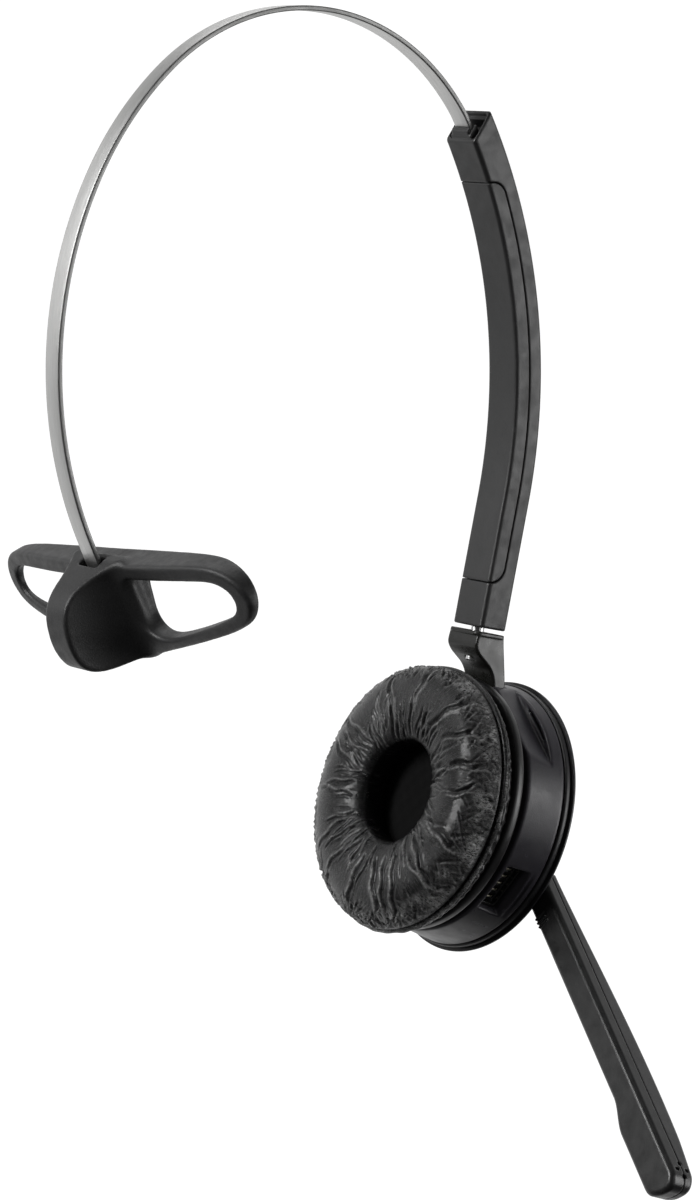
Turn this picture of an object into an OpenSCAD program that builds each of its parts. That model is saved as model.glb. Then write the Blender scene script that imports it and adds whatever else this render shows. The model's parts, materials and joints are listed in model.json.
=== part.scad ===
// Single-ear office headset: spring-steel headband, sliding arm, swivelling round earpiece and
// rotating microphone boom. Millimetres, +Z up, +X outward from the head at the worn ear,
// the wearer faces -Y. The origin is the centre of the ear cushion's contact face.

/* [Earpiece] */
// Tilt of the earpiece axis below the horizontal, in degrees
cup_tilt = 20.2; // [15:0.1:25]
// Radius of the housing wall at its front edge
wall_front_r = 23.1; // [22:0.1:24]
// Radius of the housing wall at its rear edge
wall_rear_r = 24.1; // [23.5:0.1:24.5]
// Where the housing wall starts, behind the cushion's contact face
wall_x0 = 12.6; // [12.2:0.1:13]
// Where the housing wall ends
wall_x1 = 20.3; // [20:0.1:20.6]
// Radius of the outermost rim, which carries the boom
rim_r = 25.0; // [24.6:0.1:25.5]

/* [Cushion] */
// Outer radius of the ear cushion
cushion_r = 25.0; // [24:0.1:26]
// Radius of the hole in the ear cushion
cushion_hole_r = 9.4; // [8:0.1:11]
// Thickness of the ear cushion
cushion_t = 9.4; // [8:0.1:9.5]

/* [Arm] */
// Radius of the arm's inner face
arm_inner_r = 95; // [94:0.5:96]
// Thickness of the arm
arm_t = 5.8; // [5.3:0.1:6]
// Width of the arm
arm_w = 8.6; // [8.4:0.1:9.4]
// Angle of the arm's mouth above the centre of its curve
arm_top_deg = 27.5; // [25:0.5:27.5]
// Angle below that centre where the arm turns straight
arm_low_deg = 13; // [12.5:0.1:13.5]
// Length of the arm's straight lower end
arm_foot_len = 23.5; // [22.5:0.1:24]
// Gap between the arm and the yoke
swivel_gap = 0.8; // [0.5:0.1:1]

/* [Headband] */
// Width of the steel strip
strip_w = 4.2; // [3.8:0.1:4.4]
// Thickness of the steel strip
strip_t = 0.9; // [0.8:0.05:1]
// Length of strip inside the arm when it is pushed right in, in degrees of the arm's curve
strip_in_deg = 37; // [34:1:38]

/* [Temple pad] */
// Half length of the temple pad, to the centre of its end rounding
pad_half_y = 33.2; // [32:0.1:35]
// Radius the pad is curved to, at its outer face
pad_wrap_r = 230; // [200:5:260]
// Thickness of the pad's wings
pad_t = 6.4; // [6:0.1:7]
// How far the central keel stands out
keel_out = 11; // [10:0.5:11.5]

/* [Boom] */
// Angle of the boom below the wearer's forward horizontal
boom_deg = 37.6; // [30:0.1:45]
// Distance from the earpiece axis to the boom's tip
boom_reach = 93; // [88:0.5:96]
// Sideways offset of the boom's centre line from the earpiece axis
boom_offset = 4.2; // [3:0.1:4.5]
// Width of the boom
boom_w = 5.4; // [5:0.1:6]
// Thickness of the boom
boom_t = 5.2; // [4.8:0.1:5.4]

/* [Hidden] */
$fn = 96;
eps = 0.01;

// Centre of the arm's curve, in X and Z
arm_cx = -70;
arm_cz = 72;
arm_outer_r = arm_inner_r + arm_t;
cover_t = 1.3;                          // thickness of the cover's inner face
flange_t = 1.0;                         // thickness of the cover's side flanges
flange_r = arm_inner_r + 2.9;           // how far the flanges reach round the sides
strip_r = arm_inner_r + 2.0;            // centre line of the strip inside the arm
channel_r0 = arm_inner_r + cover_t;     // channel for the strip, inner and outer walls
channel_r1 = arm_inner_r + 2.8;
channel_y = strip_w/2 + 0.2;
stop_deg = 2;                           // length of the end stop on the strip
cover_top_deg = 21.3;                   // the cover's ends
cover_low_len = 15.3;
strip_mouth_deg = 28;                   // where the strip leaves the arm's curve

// The strip outside the arm: a small kink, then three arcs, each [radius, degrees]
strip_arcs = [[14, 6], [41.4, 95.9], [59.1, 22.2], [70.1, 51.3]];
strip_tail = 13;                        // straight end inside the temple pad
pad_top_z = 4.4;                        // top edge of the pad's wings
pad_mid_z = 12;                         // the wings' roll is about this height
pad_roll = 4.5;
pad_lean = 11.3;                        // slope of the face that rests on the head

// The swivel axis runs along the arm's straight end
swivel_depth = 2.65;                     // the pin, outward of the arm's inner face
swivel_r = arm_inner_r + swivel_depth;
pin_fit = 0.05;

// Pieces along the earpiece axis
cushion_seat = 7.6;                     // the cushion's rear recess, which holds the cloth
plate_x0 = 9.6;
plate_x1 = 11.5;
plate_r = 23.3;
grille_r = 12.0;
spigot_r = 16.0;
front_wall_t = 1.4;
wall_t = 1.7;
step_x = 17.6;                          // where the gable's step meets the rear flange
chord_deg = 62;                         // half angle of the gable's chords from the top
chassis_x0 = 20.4;
chassis_x1 = 21.5;
hub_r = 17.0;
hub_x1 = 24.6;
ring_x0 = 21.7;
ring_x1 = 24.8;
rim_edge_x = 22.1;                      // the rim's straight edge ends here
ring_rear_r = 21.3;                     // radius of the ring at its rear face
cover_x1 = 26.2;
button_r = 7.4;
button_x1 = 26.8;
screw_r = 19.3;
lug_r = 19.2;

// ---------- places ----------

// Earpiece space: x along the earpiece axis, outward
module in_cup() {
    rotate([0, cup_tilt, 0]) children();
}

// Turns a shape drawn along Z so that it lies along the earpiece axis
module along_axis(x0) {
    translate([x0, 0, 0]) rotate([0, 90, 0]) children();
}

module disc(x0, x1, r) {
    along_axis(x0) cylinder(h = x1 - x0, r = r);
}

module ring(x0, x1, r_out, r_in) {
    along_axis(x0) difference() {
        cylinder(h = x1 - x0, r = r_out);
        translate([0, 0, -1]) cylinder(h = x1 - x0 + 2, r = r_in);
    }
}

// Arm space: x is the radius from the centre of the arm's curve, z is -Y
module in_arm() {
    translate([arm_cx, 0, arm_cz]) rotate([90, 0, 0]) children();
}

// A bar of the arm's curve between two angles and two radii
module arm_bar(a0, a1, r0, r1, half_w) {
    rotate([0, 0, a0]) rotate_extrude(angle = a1 - a0, $fn = 360)
        translate([r0, -half_w]) square([r1 - r0, 2*half_w]);
}

// A straight bar below the curve, from l0 to l1 past its low end
module arm_foot_bar(l0, l1, r0, r1, half_w) {
    rotate([0, 0, -arm_low_deg]) translate([r0, -l1, -half_w])
        cube([r1 - r0, l1 - l0, 2*half_w]);
}

// Swivel space: z runs up the arm's straight end, with 0 at the arm's end face
module in_swivel() {
    in_arm() rotate([0, 0, -arm_low_deg]) translate([swivel_r, -arm_foot_len, 0])
        rotate([-90, 0, 0]) children();
}

// ---------- the strip's path in X and Z ----------

function heading_vec(h) = [cos(h), sin(h)];
function left_of(h) = [-sin(h), cos(h)];
mouth_point = [arm_cx + strip_r*cos(strip_mouth_deg), arm_cz + strip_r*sin(strip_mouth_deg)];
function path_heading(n) = n == 0 ? 90 + strip_mouth_deg : path_heading(n - 1) + strip_arcs[n - 1][1];
function arc_centre(n) = path_point(n) + strip_arcs[n][0]*left_of(path_heading(n));
function path_point(n) = n == 0 ? mouth_point
    : arc_centre(n - 1) - strip_arcs[n - 1][0]*left_of(path_heading(n));

// Pad space: x outward from the head, z down along the strip's end
pad_origin = path_point(len(strip_arcs));
pad_heading = path_heading(len(strip_arcs));
module in_pad() {
    translate([pad_origin[0], 0, pad_origin[1]]) rotate([0, 90 - pad_heading, 0]) children();
}

// Angles sampled along an arc, about every two degrees, without its start
function samples(deg) = [for (k = [1 : ceil(deg/2)]) k*deg/ceil(deg/2)];
// One side of an arc, a distance to the left of its centre line
function arc_side(centre, r, h0, deg, left) = [for (a = samples(deg)) centre - (r - left)*left_of(h0 + a)];
function strip_side(left) = concat(
    [[arm_cx, arm_cz] - (strip_r - left)*left_of(inner_end_heading)],
    arc_side([arm_cx, arm_cz], strip_r, inner_end_heading, strip_in_deg, left),
    [for (n = [0 : len(strip_arcs) - 1])
        each arc_side(arc_centre(n), strip_arcs[n][0], path_heading(n), strip_arcs[n][1], left)],
    [pad_origin + strip_tail*heading_vec(pad_heading) + left*left_of(pad_heading)]);
inner_end_heading = 90 + strip_mouth_deg - strip_in_deg;
function reversed(list) = [for (k = [len(list) - 1 : -1 : 0]) list[k]];

// ---------- headband ----------

module headband_strip() {
    color([0.80, 0.80, 0.79]) difference() {
        rotate([90, 0, 0]) translate([0, 0, -strip_w/2]) linear_extrude(strip_w)
            polygon(concat(strip_side(strip_t/2), reversed(strip_side(-strip_t/2))));
        rivet_hole();
    }
}

module rivet_hole() {
    in_pad() translate([-3, 0, strip_tail - 3]) rotate([0, 90, 0]) cylinder(h = 6, r = 0.8, $fn = 32);
}

// A moulded end cap that keeps the strip from leaving the arm
module strip_stop() {
    a1 = strip_mouth_deg - strip_in_deg;
    color([0.16, 0.16, 0.17])
        in_arm() arm_bar(a1 - stop_deg, a1 - 0.02, strip_r - 0.55, strip_r + 0.6, strip_w/2 + 0.8);
}

// The wings lie a little off square to the strip
module in_wings() {
    translate([0, pad_mid_z]) rotate(pad_roll) translate([0, -pad_mid_z]) children();
}

// Outline of the temple pad, in width and height
module pad_outline() {
    hull() {
        for (s = [-1, 1]) translate([s*pad_half_y, 10.2]) circle(r = 5.7, $fn = 32);
        translate([0, 13.4]) circle(r = 8.9, $fn = 48);
    }
}

module pad_loop(s) {
    hull() {
        translate([s*(pad_half_y - 1), 10.6]) circle(r = 3.3, $fn = 32);
        translate([s*10.3, 9.4]) circle(r = 2.7, $fn = 32);
        translate([s*10.3, 15.4]) circle(r = 2.7, $fn = 32);
    }
}

// The wings' outer face is curved; the face on the head is flat and leans outward, thinner lower down
module pad_wrap() {
    difference() {
        translate([-pad_wrap_r, 0, -5]) cylinder(h = 35, r = pad_wrap_r, $fn = 360);
        translate([-pad_t, 0, pad_top_z]) rotate([0, pad_lean, 0])
            translate([-60, -60, -40]) cube([60, 120, 80]);
    }
}

module pad_keel() {
    hull() {
        rotate([90, 0, 0]) translate([0, 0, -3]) linear_extrude(6)
            polygon([[-1, 4.0], [3.4, 4.6], [7.6, 6.2], [9.9, 8.8], [keel_out, 13], [keel_out - 0.3, 17],
                [8.8, 19.9], [4.8, 20.8], [-1, 20.6]]);
        translate([-2.5, -6.9, 4.6]) cube([1.5, 13.8, 14.4]);
    }
}

core_size = [2.4, 7.0, 11.0];
core_z0 = 5.5;
module temple_pad() {
    color([0.17, 0.17, 0.18]) in_pad() difference() {
        union() {
            intersection() {
                pad_wrap();
                translate([-30, 0, 0]) rotate([90, 0, 90]) linear_extrude(40) difference() {
                    in_wings() pad_outline();
                    in_wings() for (s = [-1, 1]) pad_loop(s);
                }
            }
            pad_keel();
        }
        core_pocket();
    }
}

module core_pocket() {
    translate([-core_size[0]/2, -core_size[1]/2, core_z0]) cube(core_size);
    translate([-0.8, -strip_w/2 - 0.3, -2]) cube([1.6, strip_w + 0.6, core_z0 + 3]);
}

// Hard core moulded into the pad, which holds the strip's end
module temple_core() {
    c = core_size - [0.2, 0.2, 0.2];
    color([0.25, 0.25, 0.27]) difference() {
        in_pad() translate([-c[0]/2, -c[1]/2, core_z0 + 0.1]) cube(c);
        in_pad() translate([-strip_t/2 - 0.02, -strip_w/2 - 0.02, 2])
            cube([strip_t + 0.04, strip_w + 0.04, strip_tail - 1.98]);
        rivet_hole();
    }
}

module strip_rivet() {
    color([0.7, 0.7, 0.7]) in_pad() translate([-1.1, 0, strip_tail - 3]) rotate([0, 90, 0])
        cylinder(h = 2.2, r = 0.78, $fn = 32);
}

// ---------- arm ----------

module arm_blank() {
    difference() {
        union() {
            arm_bar(-arm_low_deg, arm_top_deg, arm_inner_r, arm_outer_r, arm_w/2);
            arm_foot_bar(0, arm_foot_len, arm_inner_r, arm_outer_r, arm_w/2);
        }
        // the mouth is cut on a slant, longer on the outer side
        rotate([0, 0, arm_top_deg]) translate([arm_inner_r - 2, -3.2, -arm_w]) rotate([0, 0, 28])
            cube([12, 6, 2*arm_w]);
    }
}

// The space that the cover fills, from the inner face round to the flanges' edges
module cover_space(gap) {
    arm_bar(-arm_low_deg, cover_top_deg + gap/2, arm_inner_r - 1, flange_r + gap, arm_w/2 + 1);
    arm_foot_bar(0, cover_low_len + gap, arm_inner_r - 1, flange_r + gap, arm_w/2 + 1);
}

module arm_shell() {
    color([0.20, 0.20, 0.21]) difference() {
        in_arm() difference() {
            arm_blank();
            cover_space(0.05);
            // the strip's channel, narrow at the mouth and wide enough for the end stop below it
            arm_bar(cover_top_deg - 1, arm_top_deg + 4, channel_r0, channel_r1, channel_y);
            // recess for the detent spring
            arm_bar(9.5, 17.5, flange_r - 0.5, flange_r + 1.1, 1.7);
        }
        in_swivel() {
            translate([0, 0, -1]) cylinder(h = 6, r = 1.75);
            translate([0, 0, 4.9]) cylinder(h = 3, r = 2.1);
        }
    }
}

module arm_cover() {
    color([0.22, 0.22, 0.23]) in_arm() difference() {
        union() {
            arm_bar(-arm_low_deg, cover_top_deg, arm_inner_r, flange_r, arm_w/2);
            arm_foot_bar(0, cover_low_len, arm_inner_r, flange_r, arm_w/2);
        }
        arm_bar(-arm_low_deg + 0.6, cover_top_deg + 1, channel_r0, flange_r + 1, arm_w/2 - flange_t);
    }
}

// Leaf spring with a dimple that clicks along the strip
module detent_spring() {
    color([0.75, 0.75, 0.75]) in_arm() {
        arm_bar(9.8, 17.2, flange_r + 0.5, flange_r + 0.8, 1.5);
        rotate([0, 0, 13.5]) translate([strip_r + strip_t/2 + 0.1, 0, 0]) rotate([0, 90, 0])
            cylinder(h = 1.0, r = 0.6, $fn = 32);
    }
}

module swivel_bush() {
    color([0.62, 0.62, 0.60]) in_swivel() difference() {
        cylinder(h = 4.8, r = 1.7);
        translate([0, 0, -1]) cylinder(h = 7, r = 1.2 + pin_fit);
    }
}

// ---------- yoke ----------

// Side view of the stem: outward from the swivel axis, and up along it
stem_outline = [[-2.8, -swivel_gap], [-3.1, -2.6], [-2.9, -3.8], [-1.9, -5.0], [-0.4, -6.0], [0.9, -7.0],
    [1.9, -8.4], [2.5, -10.0], [2.8, -13.2], [5.4, -13.2], [5.3, -10.0], [4.7, -7.3], [3.7, -3.6],
    [3.0, -swivel_gap]];

module stem_blank(grow) {
    in_swivel() translate([0, arm_w/2 + grow, 0]) rotate([90, 0, 0]) linear_extrude(arm_w + 2*grow)
        offset(delta = grow) polygon(stem_outline);
}

module ear_yoke() {
    color([0.11, 0.11, 0.11]) difference() {
        in_swivel() translate([0, arm_w/2, 0]) rotate([90, 0, 0])
            linear_extrude(arm_w) polygon(stem_outline);
        in_swivel() translate([0, 0, -6.0]) cylinder(h = 8, r = 1.2);
    }
}

module swivel_pin() {
    color([0.72, 0.72, 0.72]) in_swivel() difference() {
        translate([0, 0, -6.0]) cylinder(h = 12.4, r = 1.2);
        translate([0, 0, 5.2]) difference() {
            cylinder(h = 0.6, r = 2);
            translate([0, 0, -1]) cylinder(h = 3, r = 0.9);
        }
    }
}

module swivel_clip() {
    color([0.6, 0.6, 0.6]) in_swivel() translate([0, 0, 5.25]) difference() {
        cylinder(h = 0.5, r = 1.8);
        translate([0, 0, -1]) cylinder(h = 3, r = 0.92);
        translate([0, -0.5, -1]) cube([3, 1.0, 3]);
    }
}

// ---------- earpiece ----------

module ear_cushion() {
    edge_r = cushion_t/2;
    color([0.06, 0.06, 0.06]) in_cup() rotate([0, 90, 0]) rotate_extrude($fn = 128) difference() {
        union() {
            translate([cushion_hole_r + 3.4, 3.4]) circle(r = 3.4);
            translate([cushion_r - edge_r, edge_r]) circle(r = edge_r);
            translate([cushion_hole_r + 3.4, 0])
                square([cushion_r - edge_r - cushion_hole_r - 3.4, cushion_t]);
            translate([cushion_hole_r, 3.4]) square([6, cushion_t - 3.4]);
        }
        translate([0, cushion_seat]) square([grille_r + 0.1, 5]);
    }
}

module cushion_plate() {
    color([0.20, 0.20, 0.21]) in_cup() difference() {
        union() {
            disc(plate_x0, plate_x1, plate_r);
            disc(cushion_seat + 0.45, plate_x0 + eps, grille_r);
            ring(plate_x1 - eps, 13.6, 14.2, 12.8);
        }
        // sound holes
        for (n = [0 : 2], k = [0 : max(0, 6*n - 1)])
            rotate([n == 0 ? 0 : 60*k/n, 0, 0]) translate([0, 3.2*n, 0])
                along_axis(5) cylinder(h = 12, r = 0.9, $fn = 24);
    }
}

module speaker_cloth() {
    color([0.03, 0.03, 0.03]) in_cup() disc(cushion_seat + 0.05, cushion_seat + 0.4, grille_r - 0.1);
}

module speaker_gasket() {
    color([0.1, 0.1, 0.1]) in_cup() ring(13.65, 14.05, 14.1, 11.6);
}

module speaker_driver() {
    color([0.35, 0.35, 0.36]) in_cup() difference() {
        union() {
            disc(14.1, 15.7, 14.5);
            disc(15.7 - eps, 17.6, 9);
        }
        disc(13, 14.6, 12.8);
    }
}

module speaker_diaphragm() {
    color([0.75, 0.7, 0.5]) in_cup() {
        disc(14.3, 14.5, 12.6);
        difference() {
            translate([18.2, 0, 0]) sphere(r = 5.6, $fn = 64);
            translate([18.2, 0, 0]) sphere(r = 5.4, $fn = 64);
            disc(14.3, 30, 8);
        }
    }
}

// Half planes that give the front of the housing its gable, with the stem at its top
module gable_cut(x1, inset) {
    top = [stem_half, 23.7];
    low = [24*sin(chord_deg), 24*cos(chord_deg)];
    for (s = [-1, 1]) scale([1, s, 1])
        rotate([90, 0, 90]) translate([0, 0, wall_x0 - 3]) linear_extrude(x1 - wall_x0 + 3)
            polygon([top - inset*[0.6, 0.8], low - inset*[0.6, 0.8], [40, low[1] - inset*0.8], [40, 40],
                [top[0] - inset*0.6, 40]]);
}
stem_half = arm_w/2;

window_deg = 211;
window_w = 9.4;
window_x0 = 13.6;
window_x1 = 17.7;

module housing() {
    inner_r = wall_front_r - wall_t;
    color([0.30, 0.29, 0.31]) difference() {
        in_cup() difference() {
            union() {
                difference() {
                    along_axis(wall_x0)
                        cylinder(h = wall_x1 - wall_x0, r1 = wall_front_r, r2 = wall_rear_r);
                    gable_cut(step_x, 0);
                    difference() {
                        disc(wall_x0 + front_wall_t, wall_x1 + 1, inner_r);
                        gable_cut(step_x + 0.9, 1.5);
                    }
                }
                ring(wall_x0 + front_wall_t - eps, 16.2, 15.9, 14.7);
                for (a = screw_deg) rotate([a, 0, 0]) translate([0, screw_r, 0])
                    disc(wall_x0 + front_wall_t - eps, wall_x1, 1.7);
            }
            disc(wall_x0 - 1, wall_x0 + 3, 14.35);
            for (a = screw_deg) rotate([a, 0, 0]) translate([0, screw_r, 0]) disc(14.4, 30, 0.82);
            rotate([window_deg, 0, 0]) translate([window_x0, 18, -window_w/2])
                cube([window_x1 - window_x0, 12, window_w]);
        }
        stem_blank(0.04);
    }
}
screw_deg = [15, 165, 270];

module contact_block() {
    color([0.05, 0.05, 0.05]) in_cup() rotate([window_deg, 0, 0]) difference() {
        translate([window_x0 + 0.05, 18.6, -window_w/2 + 0.05])
            cube([window_x1 - window_x0 - 0.1, 2.9, window_w - 0.1]);
        for (k = [-2 : 2]) translate([contact_x, 19.6, 1.6*k]) rotate([-90, 0, 0])
            cylinder(h = 5, r = 0.5, $fn = 32);
    }
}
contact_x = (window_x0 + window_x1)/2;

module contact_pins() {
    color([0.80, 0.74, 0.55]) in_cup() rotate([window_deg, 0, 0])
        for (k = [-2 : 2]) translate([contact_x, 19.6, 1.6*k]) rotate([-90, 0, 0]) {
            cylinder(h = 2.0, r = 0.5, $fn = 32);
            translate([0, 0, 2.0]) intersection() {
                sphere(r = 0.5, $fn = 32);
                translate([-1, -1, -eps]) cube(2);
            }
        }
}

// Ring and hub behind the housing, on which the boom turns
boom_dir = 180 + boom_deg;
boom_min = -97.6;
boom_max = 202.4;
slot_over = 3;
module rear_chassis() {
    color([0.24, 0.24, 0.25]) in_cup() difference() {
        union() {
            disc(chassis_x0, chassis_x1, 24.4);
            disc(chassis_x1 - eps, hub_x1, hub_r);
        }
        disc(chassis_x0 - 1, hub_x1 + 1, hub_r - 1.2);
        for (a = screw_deg) rotate([a, 0, 0]) translate([0, screw_r, 0]) {
            disc(chassis_x0 - 1, 30, 0.85);
            disc(chassis_x1 - 0.6, chassis_x1 + 1, 1.5);
        }
        // the boom's stop lug runs in this slot
        along_axis(chassis_x1 - 0.7) rotate([0, 0, 90 + lug_deg + boom_min - slot_over])
            rotate_extrude(angle = boom_max - boom_min + 2*slot_over, $fn = 128)
                translate([21.2, 0]) square([1.9, 2]);
    }
}
lug_deg = boom_dir + 180;

module housing_screws() {
    color([0.6, 0.6, 0.6]) in_cup() for (a = screw_deg) rotate([a, 0, 0]) translate([0, screw_r, 0]) {
        disc(14.6, chassis_x1 - 0.55, 0.8);
        disc(chassis_x1 - 0.57, chassis_x1 - 0.05, 1.4);
    }
}

module battery() {
    color([0.55, 0.57, 0.6]) in_cup() translate([17.9, -9.5, -10.5]) cube([3.6, 19, 21]);
}

module circuit_board() {
    color([0.05, 0.25, 0.12]) in_cup() disc(21.9, 22.7, hub_r - 1.5);
}

module button_dome() {
    color([0.8, 0.8, 0.8]) in_cup() disc(22.72, 22.95, 3);
}

module outer_cover() {
    color([0.16, 0.16, 0.17]) in_cup() difference() {
        union() {
            along_axis(25.0) cylinder(h = cover_x1 - 25.0, r1 = 20.5, r2 = 19.6);
            ring(23.8, 25.0 + eps, hub_r - 1.25, 14.3);
        }
        disc(20, 30, button_r + 0.15);
        translate([0, 0, 12]) disc(20, 30, 0.92);
    }
}

module status_light() {
    color([0.7, 0.9, 0.7]) in_cup() translate([0, 0, 12]) {
        disc(23.6, cover_x1 + 0.1, 0.9);
        disc(23.4, 24.9, 1.3);
    }
}

module call_button() {
    color([0.20, 0.20, 0.21]) in_cup() {
        disc(24.2 + 0.5, button_x1, button_r);
        disc(24.2, 24.9, 8.6);
        disc(23.4, 24.2 + eps, 2);
    }
}

// ---------- boom ----------

// Boom space: y runs along the boom, z across it with the axis at 0
module in_boom() {
    in_cup() rotate([boom_dir, 0, 0]) children();
}
boom_x0 = 22.3;
boom_xm = boom_x0 + boom_t/2;
boom_x1 = boom_x0 + boom_t;
boom_y0 = 21.6;
boom_wall = 0.9;
head_y0 = 72;
head_extra = 1.6;

// The turning ring: a narrow straight rim, then a cone towards the outer cover
module rim_solid(grow, inner_r) {
    rotate([0, 90, 0]) rotate_extrude($fn = 128)
        polygon([[inner_r, ring_x0 - grow], [rim_r + grow, ring_x0 - grow],
        [rim_r + grow, rim_edge_x], [ring_rear_r + grow, ring_x1 + grow], [inner_r, ring_x1 + grow]]);
}

module boom_ring() {
    color([0.26, 0.26, 0.27]) in_cup() {
        rim_solid(0, hub_r + 0.05);
        rotate([lug_deg, 0, 0]) translate([0, 22.15, 0]) disc(chassis_x1 - 0.6, ring_x0 + eps, 0.8);
        rotate([boom_dir, 0, 0]) translate([boom_x0 + 1.0, 22, -boom_offset - boom_w/2 + 1.05])
            cube([boom_t - 2.4, 7, boom_w - 2.1]);
    }
}

module boom_washer() {
    color([0.7, 0.7, 0.7]) in_cup() ring(chassis_x1 + 0.03, ring_x0 - 0.03, 20.4, 17.3);
}

// Outline of the boom seen along the earpiece axis, from its root to its rounded tip
module boom_outline(inset) {
    z0 = -boom_offset - boom_w/2 + inset;
    z1 = -boom_offset + boom_w/2 - inset;
    r = 2.2 - inset/2;
    polygon([[boom_y0, z0], [boom_reach - r - inset, z0], [boom_reach - r - inset, z1 + head_extra],
        [head_y0 + 3, z1 + head_extra], [head_y0 - 3, z1], [boom_y0, z1]]);
    translate([boom_reach - r - inset - eps, z0]) polygon([[0, 0], [r*0.6, r*0.25], [r, r*0.9],
        [r, z1 - z0 + head_extra - r*0.9], [r*0.6, z1 - z0 + head_extra - r*0.25],
        [0, z1 - z0 + head_extra]]);
}

module boom_slab(x0, x1, inset) {
    translate([x0, 0, 0]) rotate([90, 0, 90]) linear_extrude(x1 - x0) boom_outline(inset);
}

module rim_space() {
    rim_solid(0.05, 5);
}

module boom_inner_shell() {
    color([0.10, 0.10, 0.10]) difference() {
        in_boom() difference() {
            boom_slab(boom_x0, boom_xm, 0);
            boom_slab(boom_x0 + boom_wall, boom_xm + 1, boom_wall);
            translate([boom_x0 + 0.95, 18, -boom_offset - boom_w/2 + 1.0])
                cube([boom_t, 12, boom_w - 2.0]);
            mic_holes();
        }
        in_cup() rim_space();
    }
}

module boom_outer_shell() {
    color([0.30, 0.30, 0.30]) difference() {
        in_boom() difference() {
            boom_slab(boom_xm, boom_x1, 0);
            boom_slab(boom_xm - 1, boom_x1 - boom_wall, boom_wall);
            translate([boom_xm - 1, 18, -boom_offset - boom_w/2 + 1.0])
                cube([boom_t/2 - 1.3 + 1, 12, boom_w - 2.0]);
            mic_holes();
        }
        in_cup() {
            rim_space();
            disc(ring_x1 - 1, 40, 20.7);
        }
    }
}

mic_y = 86.5;
module mic_holes() {
    for (p = [[-1.3, 0], [1.3, 0], [0, -1.1], [0, 1.1]])
        translate([boom_xm + p[1], mic_y + p[0], -boom_offset - boom_w/2 - 1])
            cylinder(h = 2.2, r = 0.4, $fn = 24);
}

module mic_capsule() {
    color([0.75, 0.75, 0.75]) in_boom()
        translate([boom_xm, mic_y, -boom_offset - boom_w/2 + boom_wall + 0.7])
            cylinder(h = 1.4, r = 1.3, $fn = 48);
}

module mic_boot() {
    color([0.08, 0.08, 0.08])
        in_boom() translate([boom_xm, mic_y, -boom_offset - boom_w/2 + boom_wall + 0.05])
        difference() {
            translate([-1.45, -2.2, 0]) cube([2.9, 4.4, 3.0]);
            translate([0, 0, 0.6]) cylinder(h = 4, r = 1.32, $fn = 48);
            for (p = [[-1.3, 0], [1.3, 0], [0, -1.1], [0, 1.1]])
                translate([p[1], p[0], -1]) cylinder(h = 2, r = 0.35, $fn = 24);
        }
}

module mic_lead() {
    color([0.7, 0.4, 0.1]) in_boom() translate([boom_xm - 0.15, 29.2, -boom_offset - 0.8])
        cube([0.3, mic_y - 2.4 - 29.2, 1.6]);
}

headband_strip();
strip_stop();
temple_pad();
temple_core();
strip_rivet();
arm_shell();
arm_cover();
detent_spring();
swivel_bush();
ear_yoke();
swivel_pin();
swivel_clip();
ear_cushion();
cushion_plate();
speaker_cloth();
speaker_gasket();
speaker_driver();
speaker_diaphragm();
housing();
contact_block();
contact_pins();
rear_chassis();
housing_screws();
battery();
circuit_board();
button_dome();
outer_cover();
status_light();
call_button();
boom_ring();
boom_washer();
boom_inner_shell();
boom_outer_shell();
mic_capsule();
mic_boot();
mic_lead();
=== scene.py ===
import json
from math import atan2, ceil, cos, pi, radians, sin, sqrt, tan

import bmesh
import bpy
import numpy as np
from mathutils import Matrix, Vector

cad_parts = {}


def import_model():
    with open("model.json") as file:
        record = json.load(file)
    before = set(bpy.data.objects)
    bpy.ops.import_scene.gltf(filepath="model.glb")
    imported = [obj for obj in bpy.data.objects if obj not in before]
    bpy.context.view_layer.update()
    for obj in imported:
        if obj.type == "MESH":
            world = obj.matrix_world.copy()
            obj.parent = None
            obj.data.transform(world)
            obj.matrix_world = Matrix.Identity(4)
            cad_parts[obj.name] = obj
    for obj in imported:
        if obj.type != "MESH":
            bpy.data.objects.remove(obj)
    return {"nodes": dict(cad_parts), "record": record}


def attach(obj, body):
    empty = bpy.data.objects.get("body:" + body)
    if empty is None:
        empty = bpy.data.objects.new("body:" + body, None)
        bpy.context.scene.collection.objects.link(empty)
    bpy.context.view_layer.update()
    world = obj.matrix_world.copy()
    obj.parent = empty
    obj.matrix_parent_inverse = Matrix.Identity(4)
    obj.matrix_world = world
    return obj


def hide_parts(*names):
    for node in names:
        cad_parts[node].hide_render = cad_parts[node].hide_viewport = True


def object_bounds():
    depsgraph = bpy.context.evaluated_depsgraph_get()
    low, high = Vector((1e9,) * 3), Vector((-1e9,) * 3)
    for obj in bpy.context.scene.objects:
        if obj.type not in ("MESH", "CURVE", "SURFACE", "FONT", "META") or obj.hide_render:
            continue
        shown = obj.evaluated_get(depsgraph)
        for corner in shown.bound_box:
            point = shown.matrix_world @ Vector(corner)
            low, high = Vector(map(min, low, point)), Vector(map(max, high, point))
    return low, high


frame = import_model()
cad_bounds = [list(corner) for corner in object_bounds()]
scene = bpy.context.scene

# Lengths in this script are millimetres until a mesh is made, then metres.
MM = 0.001
JOINTS = {joint["name"]: joint for joint in frame["record"]["behaviour"]["joints"]}


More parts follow.
